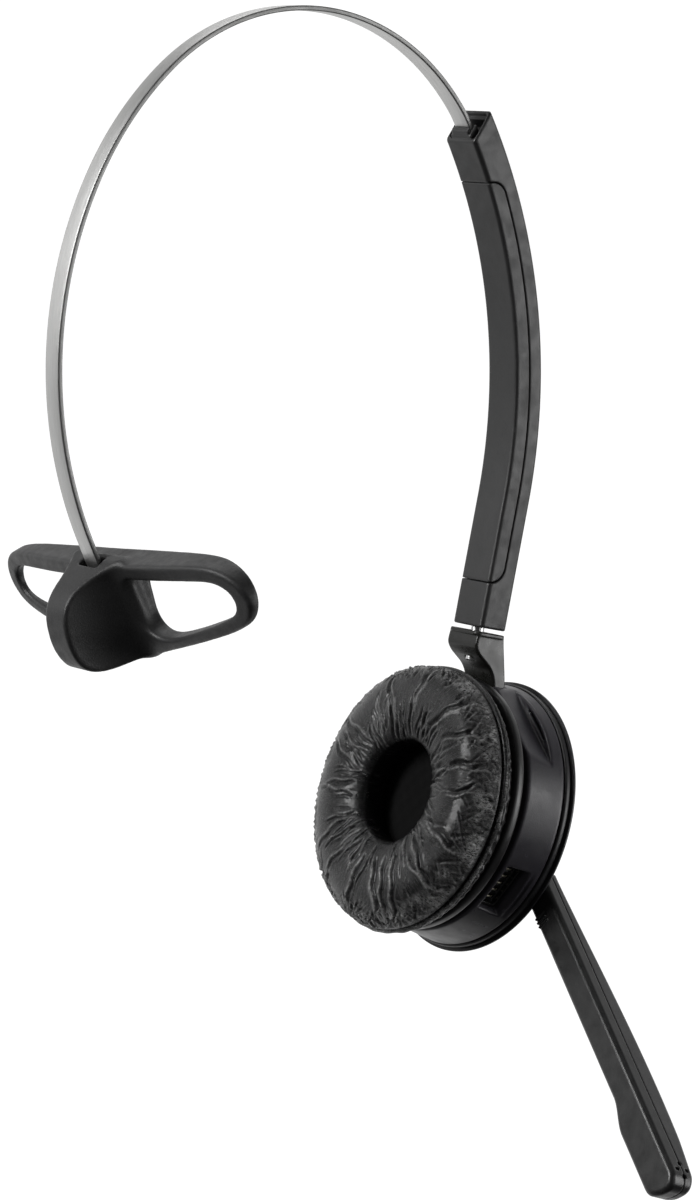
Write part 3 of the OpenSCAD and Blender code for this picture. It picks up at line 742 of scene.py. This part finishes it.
def arm():
    low, high = (0, -ARM_W / 2, 0), (ARM_T, ARM_W / 2, ARM_LEN + 2)
    stands_for(solid("arm_body", arm_shell_distance, low, high, 0.2, arm_out), "arm_shell")
    high = (ARM_T * 0.6, ARM_W / 2, ARM_SEAM_TOP + 1)
    stands_for(solid("arm_inner_cover", arm_cover_distance, low, high, 0.2, arm_out), "arm_cover")


# ---- yoke
STEM_INNER = [(2.7, -13.2), (2.6, -10.3), (2, -8.5), (0.9, -7), (-0.6, -5.9), (-2, -4.9),
              (-2.95, -3.7), (-3.05, -2.4), (-2.8, -0.8)]
STEM_OUTER = [(3, -0.8), (3.15, -1.6), (3.6, -3.4), (4.7, -7.3), (5.3, -10), (5.4, -13.2)]


def yoke_distance(x, y, z):
    outline = polygon2(x, z, np.vstack([smooth_line(STEM_INNER, 25), smooth_line(STEM_OUTER, 13)]))
    bar = rounded_pair(outline + 0.02, abs(y) - ARM_W / 2, 0.4)
    lip = rounded_pair(abs(z + 1.15) - 0.35, box2(x, y, 0, 0, 3.3, ARM_W / 2 + 0.05, 1.2), 0.25)
    bar = smooth_min(bar, lip, 0.25)
    bore = np.maximum(np.hypot(x, y) - 1.22, -(z + 6))
    return cut(bar, bore, 0.2)


def yoke():
    low, high = (-3.6, -4.5, -13.3), (5.9, 4.5, -0.6)
    stands_for(solid("ear_cup_yoke", yoke_distance, low, high, 0.16, SWIVEL.out), "ear_yoke")


# ---- earpiece
WALL_X0 = 12.6
WALL_X1 = 20.3
WALL_FRONT_R = 23.1
WALL_REAR_R = 24.1
WALL_T = 1.7
STEP_X = 17.6  # the gable's step
CHORD = radians(62)  # half angle of the gable's chords from the top
GABLE_TOP = np.array([4.3, 23.7])  # where the gable's level top ends
SCREW_ANGLES = (15, 165, 270)
SCREW_R = 19.3
RIM_R = 25  # the boom's ring: straight, then falling off to the back
RIM_REAR_R = 21.3
RIM_EDGE_X = 22.1
RIM_REAR_X = 24.8
WINDOW_ANGLE = 211
WINDOW_W = 9.4
WINDOW_X0 = 13.6
WINDOW_X1 = 17.7
WINDOW_X = (WINDOW_X0 + WINDOW_X1) / 2
WINDOW_HALF = (WINDOW_X1 - WINDOW_X0) / 2
CONTACT_PITCH = 1.6


def gable(y, z):
    """Distance past the gable's chords, negative on the axis side and under the level top."""
    slope = np.array([24 * sin(CHORD), 24 * cos(CHORD)]) - GABLE_TOP
    slope /= np.linalg.norm(slope)
    past = (abs(y) - GABLE_TOP[0]) * -slope[1] + (z - GABLE_TOP[1]) * slope[0]
    return np.where(abs(y) < GABLE_TOP[0] - 1, -1, past)


def turned_yz(y, z, degrees):
    """Coordinates along and across a radius at that angle."""
    c, s = cos(radians(degrees)), sin(radians(degrees))
    return c * y + s * z, -s * y + c * z


def housing_distance(x, y, z):
    r = np.hypot(y, z)
    length = WALL_X1 - WALL_X0
    outer_r = WALL_FRONT_R + (WALL_REAR_R - WALL_FRONT_R) * (x - WALL_X0) / length
    body = rounded_pair(r - outer_r, abs(x - (WALL_X0 + WALL_X1) / 2) - length / 2, 0.45)
    past = gable(y, z)
    step = rounded_pair(-past, x - STEP_X, 0.1)
    body = cut(body, step, 0.35)
    # the pocket behind the gable, and the hollow inside the wall
    lens = np.maximum(np.maximum(0.7 - past, r - 22.9), x - 19.9)
    body = cut(body, lens, 0.25)
    hollow = np.maximum(np.maximum(r - (WALL_FRONT_R - WALL_T), 14 - x), past + 1.5)
    body = cut(body, hollow, 0.2)
    collar = np.maximum(abs(r - 15.3) - 0.6, abs(x - 15.1) - 1.1)
    body = smooth_min(body, collar, 0.2)
    for degrees in SCREW_ANGLES:
        a, b = turned_yz(y, z, degrees)
        post = np.hypot(a - SCREW_R, b)
        body = smooth_min(body, np.maximum(post - 1.7, abs(x - 17.1) - 3.2), 0.3)
        body = cut(body, np.maximum(post - 0.82, 14.4 - x), 0.1)
    body = np.maximum(body, -np.maximum(r - 14.35, x - 15.6))
    # the contacts' window, with a sloping lead-in round it
    a, b = turned_yz(y, z, WINDOW_ANGLE)
    lead = np.clip(a - 22.2, 0, 2) * 0.45
    window = box2(x, b, WINDOW_X, 0, WINDOW_HALF + lead, WINDOW_W / 2 + lead, 0.3)
    body = cut(body, np.maximum(window, 18 - a), 0.25)
    sill = np.maximum(box2(x, b, 18.95, -1.2, 0.32, WINDOW_W / 2 + 1.6, 0.1), 23.35 - a)
    body = cut(body, sill, 0.15)
    # the yoke's foot sits in the top of the gable
    foot = box2(y, x, 0, 14.4, ARM_W / 2 + 0.06, 1.75, 0.1)
    return cut(body, np.maximum(foot, 13.6 - z), 0.1)


def housing():
    low, high = (WALL_X0, -24.3, -24.3), (WALL_X1, 24.3, 24.3)
    stands_for(solid("ear_cup_housing", housing_distance, low, high, 0.25, CUP.out), "housing")


def cushion_plate():
    corners = [(8.05, 0), (8.05, 12), (9.6, 12), (9.6, 23.35), (11.5, 23.35),
               (11.5, 14.2), (13.6, 14.2), (13.6, 12.8), (11.5, 12.8), (11.5, 0)]
    radii = [0, 0.2, 0.3, 0.7, 0.7, 0.3, 0.2, 0.2, 0.1, 0]
    turned_part("cushion_plate", "cushion_mounting_plate", corners, radii, 6)


def contact_block():
    half = WINDOW_HALF - 0.06
    contacts = [CONTACT_PITCH * k for k in range(-2, 3)]

    def block(x, y, z):
        body = box3(x, y, z, (WINDOW_X, 20, 0), (half, 1.7, WINDOW_W / 2 - 0.06), 0.2)
        well = box3(x, y, z, (WINDOW_X, 21.6, 0), (half - 0.55, 1, WINDOW_W / 2 - 0.7), 0.2)
        body = cut(body, well, 0.15)
        for across in contacts:
            slot = box3(x, y, z, (WINDOW_X, 20.6, across), (1.2, 1, 0.45), 0.12)
            body = cut(body, slot, 0.1)
        return body

    def blades(x, y, z):
        found = np.inf
        crown = 20.75 - (x - WINDOW_X) ** 2 * 0.35
        for across in contacts:
            blade = np.maximum(abs(y - crown) - 0.12, abs(z - across) - 0.17)
            found = np.minimum(found, rounded_pair(blade, abs(x - WINDOW_X) - 1, 0.06))
        return found

    space = CUP.turned(WINDOW_ANGLE)
    low, high = (WINDOW_X0, 18.2, -4.8), (WINDOW_X1, 21.8, 4.8)
    stands_for(solid("contact_carrier", block, low, high, 0.12, space.out), "contact_block")
    low, high = (WINDOW_X0, 19.6, -4), (WINDOW_X1, 21.2, 4)
    stands_for(solid("contact_springs", blades, low, high, 0.08, space.out), "contact_pins")


def rear_parts():
    """The turned parts behind the housing: chassis, boom ring, outer cover, button and light."""
    chassis = [(20.4, 15.8), (20.4, 24.4), (21.5, 24.4), (21.5, 17), (24.6, 17), (24.6, 15.8)]
    turned_part("rear_chassis", "rear_hub", chassis, [0.1, 0.35, 0.35, 0.1, 0.2, 0.2])
    ring = [(21.7, 17.05), (21.7, RIM_R), (RIM_EDGE_X, RIM_R), (RIM_REAR_X, RIM_REAR_R), (RIM_REAR_X, 17.05)]
    turned_part("boom_ring", "boom_turning_ring", ring, [0.1, 0.15, 0.6, 0.2, 0.1], 7)
    cover = [(23.8, 14.3), (23.8, 15.7), (25, 15.7), (25, 20.5), (26.2, 19.6), (26.2, 8.3),
             (25.9, 7.6), (25, 7.6), (25, 14.3)]
    turned_part("outer_cover", "outer_cap", cover, [0.1, 0.1, 0.1, 0.2, 0.5, 0.5, 0.2, 0.1, 0.1], 7)
    button = [(23.4, 0), (23.4, 2), (24.2, 2), (24.2, 8.6), (24.85, 8.6), (24.85, 7.4), (26.8, 7.4),
              (26.45, 4.5), (26.3, 0)]
    turned_part("call_button", "call_key", button, [0, 0.1, 0.1, 0.2, 0.2, 0.1, 0.5, 2.5, 0], 7)
    lens = [(23.4, 0), (23.4, 1.3), (24.85, 1.3), (24.85, 0.88), (26.3, 0.88), (26.32, 0)]
    space = Place(CUP.out([[0, 0, 12]])[0], CUP_AXIS, CUP_UP)
    turned_part("status_light", "status_lens", lens, [0, 0.1, 0.1, 0.1, 0.3, 0], 5, space, 48)


def speaker_cloth():
    """The cloth over the speaker: a shallow dome, a little slack between the sound holes."""
    rings, around, rim_r = 60, 180, 11.9
    turn = np.linspace(0, 2 * pi, around, endpoint=False)
    rr, tt = np.meshgrid(np.linspace(0.02, rim_r, rings), turn)
    y, z = rr * np.cos(tt), rr * np.sin(tt)
    sag = 0.05 * np.sin(y * 1.9 + 0.6) * np.sin(z * 1.7) + 0.12 * (rr / rim_r) ** 2
    front = np.stack([7.66 + sag, y, z], -1).reshape(-1, 3)
    back = front + (0.2, 0, 0)
    face, n = grid_faces(around, rings), len(front)
    hole = np.arange(around) * rings
    rim = hole + rings - 1
    after = np.roll(rim, -1)
    side = np.stack([rim, after, after + n, rim + n], 1)
    middle = [tuple(hole[::-1]), tuple(hole + n)]
    faces = [tuple(f) for f in np.concatenate([face, face[:, ::-1] + n, side])] + middle
    points = np.concatenate([front, back])
    cloth = stands_for(new_object("acoustic_cloth", CUP.out(points), faces, points), "speaker_cloth")


# ---- boom
BOOM_ANGLE = 217.6
BOOM_X0, BOOM_X1 = 22.3, 27.5
BOOM_XM = (BOOM_X0 + BOOM_X1) / 2
BOOM_Y0 = 21.6
BOOM_REACH = 90.6
BOOM_BOW = 1.3  # the arm of the boom bows away from the face
BOOM_Z = -4.2
BOOM_HALF = 2.7
BOOM_WALL = 0.95
HEAD_Y = 68  # the boom widens here into its head
HEAD_RUN = 7
HEAD_EXTRA = 1.6
MIC_Y = 87.3
SOUND_HOLES = ((0, 1.3), (0, -1.3), (-1.1, 0), (1.1, 0))
BOOM = CUP.turned(BOOM_ANGLE)


def boom_body(x, y, z):
    """The boom's whole outside, in boom space."""
    grow = unit((y - HEAD_Y) / HEAD_RUN)
    top = BOOM_Z + BOOM_HALF + HEAD_EXTRA * grow * grow * (3 - 2 * grow)
    low = BOOM_Z - BOOM_HALF
    side = rounded_pair(abs(z - (top + low) / 2) - (top - low) / 2, y - BOOM_REACH, 2.9)
    side = smooth_max(side, (z - top) * 0.5 + (y - BOOM_REACH) * 0.87 + 1.9, 1.5)
    along = unit((y - BOOM_Y0) / (BOOM_REACH - BOOM_Y0))
    thick = (BOOM_X1 - BOOM_X0) * (0.84 + 0.16 * np.minimum(along * 1.2, 1))
    bow = BOOM_BOW * np.sin(pi * along ** 1.3) - 0.6 * unit(along - 0.85) / 0.15
    flat = np.maximum(BOOM_X0 - 0.35 * along - x, x - (BOOM_X0 + thick + bow))
    return rounded_pair(side, flat, 0.95)


def boom_distance(x, y, z, outer):
    """One half of the boom: split along its middle, hollow, and cut to lie on the ring and the cover."""
    whole = boom_body(x, y, z)
    r = np.hypot(y, z)
    split = (x - BOOM_XM) * (-1 if outer else 1) + 0.03
    body = smooth_max(whole, split, 0.12)
    inside = whole + BOOM_WALL
    fall = (RIM_R - RIM_REAR_R) / (RIM_REAR_X - RIM_EDGE_X)
    rim = RIM_R - np.maximum(x - RIM_EDGE_X, 0) * fall
    body = np.maximum(body, np.where(x < 24.9, (rim + 0.05 - r) * 0.6, -1))
    if outer:
        body = np.maximum(body, np.where(x > 24.6, 20.75 - r, -1))
    root = box3(x, y, z, (BOOM_XM, 26, BOOM_Z), (1.35, 3.2, 1.8), 0.1)
    body = cut(body, np.minimum(np.maximum(inside, 30 - y), root), 0.1)
    for dx, dy in SOUND_HOLES:
        hole = np.hypot(x - BOOM_XM - dx, y - MIC_Y - dy) - 0.42
        body = cut(body, np.maximum(hole, z - BOOM_Z), 0.12)
    if not outer:
        for k in range(3):
            rib = box3(x, y, z, (BOOM_X0 + 0.1, 27.2 + 0.9 * k, BOOM_Z + 1.2), (0.35, 0.2, 1.3), 0.15)
            body = smooth_min(body, rib, 0.12)
    return body


def boom():
    low, high = (19, BOOM_Z - BOOM_HALF), (BOOM_REACH, BOOM_Z + BOOM_HALF + HEAD_EXTRA)
    for side, outer, x0, x1 in (("inner", False, BOOM_X0 - 0.6, BOOM_XM + 0.3),
                                ("outer", True, BOOM_XM - 0.3, BOOM_X1 + BOOM_BOW)):
        piece = solid(f"boom_{side}_half", lambda x, y, z: boom_distance(x, y, z, outer),
                      (x0, *low), (x1, *high), 0.17, BOOM.out)
        stands_for(piece, f"boom_{side}_shell")


# ---- ear cushion
COVER_PROFILE = [(7.6, 9.7), (5, 9.3), (3, 9.2), (1.9, 9.6), (1.1, 10.7), (0.5, 12.6), (0.15, 14.7),
                 (0, 16.6), (0.25, 19), (0.9, 20.95), (1.85, 22.5), (2.85, 23.6), (3.9, 24.3),
                 (4.95, 24.7), (5.5, 24.75)]
SKIRT_PROFILE = [(5.5, 24.75), (5.75, 24), (6, 24.6), (6.15, 25.05), (6.55, 25.3), (6.95, 25),
                 (7.15, 24.5), (7.8, 24.55), (8.6, 23.9), (9.25, 23.1), (9.4, 22), (9.4, 12.1),
                 (7.6, 12.1), (7.6, 9.7)]
CLOTH_SCALE = 20  # the cloth is relaxed at this many times its size
CLOTH_AROUND, CLOTH_ROWS = 320, 52
CLOTH_STEPS = 26
COVER_AROUND, COVER_ROWS = 960, 132
SKIRT_ROWS = 60
# Creases pressed into the cover: clock hour as worn, radius from, radius to, slant, depth, width
CREASES = [
    (12, 14, 24.5, 0.1, 0.5, 0.55), (0.9, 13, 24, 0.35, 0.55, 0.6), (1.5, 15, 24.6, 0.5, 0.4, 0.5),
    (2.1, 12, 24.6, 0.25, 0.6, 0.6), (2.8, 16, 24.6, -0.2, 0.45, 0.5), (3.5, 13, 24.6, 0.15, 0.6, 0.7),
    (4.1, 12, 22.5, 0.3, 0.65, 0.6), (4.5, 14, 24.6, -0.25, 0.55, 0.5), (4.9, 12, 23.5, 0.3, 0.6, 0.6),
    (5.3, 12, 24.6, 0.1, 0.6, 0.6), (5.7, 12, 24.6, -0.2, 0.65, 0.7), (6.2, 12, 24, 0.15, 0.55, 0.6),
    (7, 12, 20, 0.2, 0.4, 0.5), (7.8, 12, 21, -0.2, 0.4, 0.5), (8.5, 11, 19, 0.3, 0.45, 0.45),
    (8.9, 11, 18, -0.2, 0.4, 0.4), (9.3, 11, 20, 0.3, 0.45, 0.45), (9.7, 11, 18.5, 0.1, 0.4, 0.4),
    (10.2, 11, 20.5, -0.3, 0.45, 0.45), (10.7, 11, 19, 0.2, 0.4, 0.45), (11.3, 12, 21, -0.2, 0.4, 0.5),
]
# Short ones round the hole and across the belt: how many, radius from, length, slant, depth, width
SHORT_CREASES = ((90, (9, 11.6), (2.5, 7), (-0.5, 0.5), (0.1, 0.26), (0.18, 0.36)),
                 (340, (20, 24), (0.8, 3.6), (-1.6, 1.6), (0.1, 0.3), (0.16, 0.4)))


def turned_grid(profile, around):
    """Points round the cup's axis, (around, rows, 3); the face leans a little low and back."""
    turn = np.linspace(0, 2 * pi, around, endpoint=False)[:, None]
    x, r = profile[None, :, 0] + 0 * turn, profile[None, :, 1] + 0 * turn
    lean = unit((x - 1.5) / 3) * unit((r - 18) / 4) * 0.5
    y, z = r * np.cos(turn), r * np.sin(turn)
    return np.stack([x, y + lean * 1.3, z * (1 - 0.06 * lean) - lean * 1.2], -1)


def refined(grid, around, rows):
    """The grid at more points both ways, through cubic curves."""
    n, m = grid.shape[:2]
    t = np.arange(around) * n / around
    i = t.astype(int)
    grid = cubic(grid[i - 1], grid[i % n], grid[(i + 1) % n], grid[(i + 2) % n], (t - i)[:, None, None])
    t = np.linspace(0, m - 1, rows)
    i = np.minimum(t.astype(int), m - 2)
    return cubic(grid[:, np.maximum(i - 1, 0)], grid[:, i], grid[:, i + 1], grid[:, np.minimum(i + 2, m - 1)],
                 (t - i)[None, :, None])


def grid_normals(grid):
    around = np.roll(grid, -1, 0) - np.roll(grid, 1, 0)
    along = np.gradient(grid, axis=1)
    normal = np.cross(around, along)
    return normal / np.maximum(np.linalg.norm(normal, axis=-1, keepdims=True), 1e-9)


def slackened(grid, share):
    """The grid folded to and fro, so each step round it is longer by that share."""
    step = np.linalg.norm(np.roll(grid, -1, 0) - grid, axis=-1)
    swing = step / 2 * np.sqrt((1 + share) ** 2 - 1)
    swing[1::2] *= -1
    return grid + grid_normals(grid) * swing[..., None]


def relaxed_cover(grid, share):
    """The cover as cloth sewn at the hole and at the seam, longer than its pad and blown out by the foam."""
    around, rows = grid.shape[:2]
    scale, points = CLOTH_SCALE, grid.reshape(-1, 3)
    cloth = new_object("cover_cloth", points * scale, grid_faces(around, rows), points)
    cloth.shape_key_add(name="Basis")
    slack = cloth.shape_key_add(name="slack")
    slack.data.foreach_set("co", (slackened(grid, share) * scale * MM).ravel())
    sewn = cloth.vertex_groups.new(name="sewn")
    j = np.arange(around * rows) % rows
    sewn.add(np.flatnonzero((j < 5) | (j > rows - 3)).tolist(), 1, "REPLACE")
    modifier = cloth.modifiers.new("cloth", "CLOTH")
    settings = modifier.settings
    settings.rest_shape_key = slack
    settings.vertex_group_mass = "sewn"
    settings.quality = 6
    settings.mass = 0.25
    settings.tension_stiffness = settings.compression_stiffness = 25
    settings.shear_stiffness = 6
    settings.bending_stiffness = 0.6
    settings.air_damping = 3
    settings.use_pressure = True
    settings.uniform_pressure_force = 2.5
    settings.effector_weights.gravity = 0
    modifier.collision_settings.use_collision = False
    modifier.point_cache.frame_start, modifier.point_cache.frame_end = 1, CLOTH_STEPS
    for step in range(1, CLOTH_STEPS + 1):
        scene.frame_set(step)
    shape = cloth.evaluated_get(bpy.context.evaluated_depsgraph_get()).to_mesh()
    points = np.empty(around * rows * 3, np.float32)
    shape.vertices.foreach_get("co", points)
    bpy.data.meshes.remove(cloth.data)
    scene.frame_set(1)
    return points.reshape(around, rows, 3) / (scale * MM)


def waves(turn, across, count, low, high, seed):
    """Smooth irregular waves round the ring, about 0, from seeded sines."""
    rng = np.random.default_rng(seed)
    total = np.zeros(np.broadcast(turn, across).shape)
    for _ in range(count):
        k = rng.integers(low, high)
        total += np.sin(k * turn + rng.uniform(-1, 1) * across + rng.uniform(0, 6.3)) * rng.uniform(0.3, 1)
    return total / sqrt(count)


def creases(turn, radius, x):
    """Depth of the cover's creases, positive inward, and how much each point lies on a crease's lip."""
    rng = np.random.default_rng(11)
    found, lips = np.zeros(turn.shape), np.zeros(turn.shape)
    folds = [(radians(90 + 30 * hour), r0, r1, slant, depth * 0.55, width * 0.8)
             for hour, r0, r1, slant, depth, width in CREASES]
    for count, start, length, *rest in SHORT_CREASES:
        for _ in range(count):
            r0 = rng.uniform(*start)
            angle, r1 = rng.uniform(0, 6.283), r0 + rng.uniform(*length)
            folds.append((angle, r0, r1, *(rng.uniform(*span) for span in rest)))
    run = np.where(x < 2.5, radius, radius + (x - 2.5) * 0.8)
    for angle, r0, r1, slant, depth, width in folds:
        bent = angle + slant * (run - r0) / 22 + 0.012 * np.sin(run * 1.3 + angle * 9)
        off = (np.mod(turn - bent + pi, 2 * pi) - pi) * radius / width
        near = abs(off) < 4
        ends = unit((run - r0) / 1.2) * unit((r1 + 1 - run) / 1.5)
        groove = np.exp(-off ** 2)
        raised = 0.5 * np.exp(-(off - 1.6) ** 2) + 0.25 * np.exp(-(off + 1.9) ** 2)
        found += np.where(near, (groove - raised) * depth * ends, 0)
        lip = np.where(near, np.exp(-((off - 1.6) / 0.55) ** 2) * ends, 0)
        lips = np.maximum(lips, lip * min(1, depth * 3.2))
    return found, lips


def ear_cushion():
    cover = turned_grid(smooth_line(COVER_PROFILE, CLOTH_ROWS), CLOTH_AROUND)
    row = np.linspace(0, 1, CLOTH_ROWS)[None]
    radius = np.hypot(cover[..., 1], cover[..., 2])
    share = np.interp(radius, [10, 12, 15, 19, 22, 24.6], [0.12, 0.1, 0.04, 0.03, 0.07, 0.09])
    moved = relaxed_cover(cover, share) - cover
    cover = cover + np.clip(moved, -1.1, 1.1) * unit(row * 12 - 0.8)[..., None]
    cover = refined(cover, COVER_AROUND, COVER_ROWS)
    skirt = turned_grid(smooth_line(SKIRT_PROFILE, SKIRT_ROWS), COVER_AROUND)[:, 1:-1]
    grid = np.concatenate([cover, skirt], 1)
    rows = grid.shape[1]
    x, y, z = np.moveaxis(grid, -1, 0)
    turn, radius = np.arctan2(z, y), np.hypot(y, z)
    on_cover = np.arange(rows)[None] < COVER_ROWS - 2
    face = on_cover * unit(4.6 - x + (radius > 15))
    depth, lip = creases(turn, radius, x)
    depth, lip = depth * face, lip * face
    belt = unit((radius - 21.5) / 2) * unit((5.4 - x) / 0.8) * on_cover
    depth += belt * 0.13 * waves(turn, x * 2.2, 24, 50, 170, 3)
    piping = np.exp(-((x - 6.5) / 0.5) ** 2) * (radius > 24.3)
    skirt_zone = unit((x - 6.9) / 0.5) * (radius > 22.8)
    depth += piping * 0.12 * waves(turn, x, 12, 9, 40, 5)
    depth += skirt_zone * 0.16 * waves(turn, x * 2.5, 24, 30, 110, 6)
    grid = grid - grid_normals(grid) * depth[..., None]
    local = np.stack([x, radius, turn * 20], -1).reshape(-1, 3)
    piece = new_object("ear_cushion_cover", CUP.out(grid.reshape(-1, 3)),
                       grid_faces(COVER_AROUND, rows, closed=True), local)
    # the ridge mask sets where highlights are painted on the crease lips, and the belt mask where glints are
    # painted on the belt's crinkles
    for name, values in (("belt", np.maximum(belt, piping)), ("ridge", lip)):
        mask = piece.data.attributes.new(name, "FLOAT", "POINT").data
        mask.foreach_set("value", values.astype(np.float32).ravel())
    stands_for(piece, "ear_cushion")


# ---- everything
headband_strip()
temple_pad()
arm()
yoke()
housing()
cushion_plate()
contact_block()
rear_parts()
speaker_cloth()
boom()
ear_cushion()

for name, node in frame["nodes"].items():
    if not node.hide_render:
        coat(node, SLOTS[name])


# ---- stage, light and camera
FLOOR_R, FLOOR_SIDES = 40, 96


def floor():
    """A wide round floor just under the object, white as the backdrop; it doesn't light the object."""
    look = Recipe("pale_stage", (0.12, 0.12, 0.12), 0.8, specular_ior_level=0.1, emission_strength=1)
    look.set("Emission Color", (1, 1, 1, 1))
    look.set("Roughness", look.spread(look.noise(look.mm(), 60, 2), 0.75, 0.85))
    height = cad_bounds[0][2] - 0.001
    turns = [2 * pi * k / FLOOR_SIDES for k in range(FLOOR_SIDES)]
    ring = [(FLOOR_R * cos(turn), FLOOR_R * sin(turn), height) for turn in turns]
    mesh = bpy.data.meshes.new("floor")
    mesh.from_pydata(ring, [], [tuple(range(FLOOR_SIDES))])
    mesh.materials.append(look.material)
    plane = linked("floor", mesh)
    plane.visible_diffuse = plane.visible_glossy = False


def direction(azimuth, elevation):
    """The way from the object to a viewer at those degrees; azimuth 0 looks along +Y."""
    a, e = radians(azimuth), radians(elevation)
    return Vector((sin(a) * cos(e), -cos(a) * cos(e), sin(e)))


LIT_POINT = Vector((-0.02, 0, 0.03))


def softbox(name, azimuth, elevation, distance, size, power):
    """A rectangular area light that looks at the object from that side."""
    data = bpy.data.lights.new(name, "AREA")
    data.shape = "RECTANGLE"
    data.size, data.size_y = size
    data.energy = power
    lamp = linked(name, data)
    way = direction(azimuth, elevation)
    lamp.location = LIT_POINT + way * distance
    lamp.rotation_euler = way.to_track_quat("Z", "Y").to_euler()


SIGHT_WAY = (0.581, 0.814, 0)  # the way the camera looks, level


def world():
    """A white backdrop behind the object that fades overhead, and a dark room on the camera's side."""
    made = bpy.data.worlds.new("studio")
    scene.world = made
    made.use_nodes = True
    sky = Nodes(made.node_tree)
    way = sky.node("TexCoord", out="Generated")
    behind = sky.node("VectorMath", {0: way, 1: SIGHT_WAY}, "Value", operation="DOT_PRODUCT")
    wall = sky.remap(behind, 0.1, 0.4)
    top = sky.remap(sky.node("SeparateXYZ", {0: way}, "Z"), 0.25, 0.75, 0.85, 0.12)
    room = sky.math("MAXIMUM", sky.times(wall, top), 0.05)
    sight = sky.node("LightPath", out="Is Camera Ray")
    background = sky.tree.nodes["Background"].inputs
    background["Color"].default_value = (1, 1, 1, 1)
    sky.put(background["Strength"], sky.node("Mix", {0: sight, 2: room, 3: 1.1}))


# The camera looks a little down on the headset, from the open side of the ear cushion
VIEW_AZIMUTH = -35.54
VIEW_ELEVATION = 8.5
VIEW_DISTANCE = 0.7105
VIEW_POINT = Vector((-0.00307, 0.00824, 0.03297))


def camera():
    data = bpy.data.cameras.new("camera")
    data.sensor_fit = "VERTICAL"
    data.sensor_height = 24
    data.lens = 80
    data.clip_start = 0.01
    data.clip_end = 200
    seen = linked("camera", data)
    back = direction(VIEW_AZIMUTH, VIEW_ELEVATION)
    seen.location = VIEW_POINT + back * VIEW_DISTANCE
    seen.rotation_euler = back.to_track_quat("Z", "Y").to_euler()
    scene.camera = seen


floor()
world()
softbox("key_softbox", 8, 12, 0.9, (0.3, 0.9), 0.8)
softbox("right_softbox", 45, 0, 0.9, (0.4, 0.6), 4.2)
softbox("left_softbox", -110, 30, 0.9, (0.3, 0.5), 6.5)
softbox("top_softbox", 150, 60, 1, (0.5, 0.5), 2.4)
camera()
scene.view_settings.view_transform = "Standard"
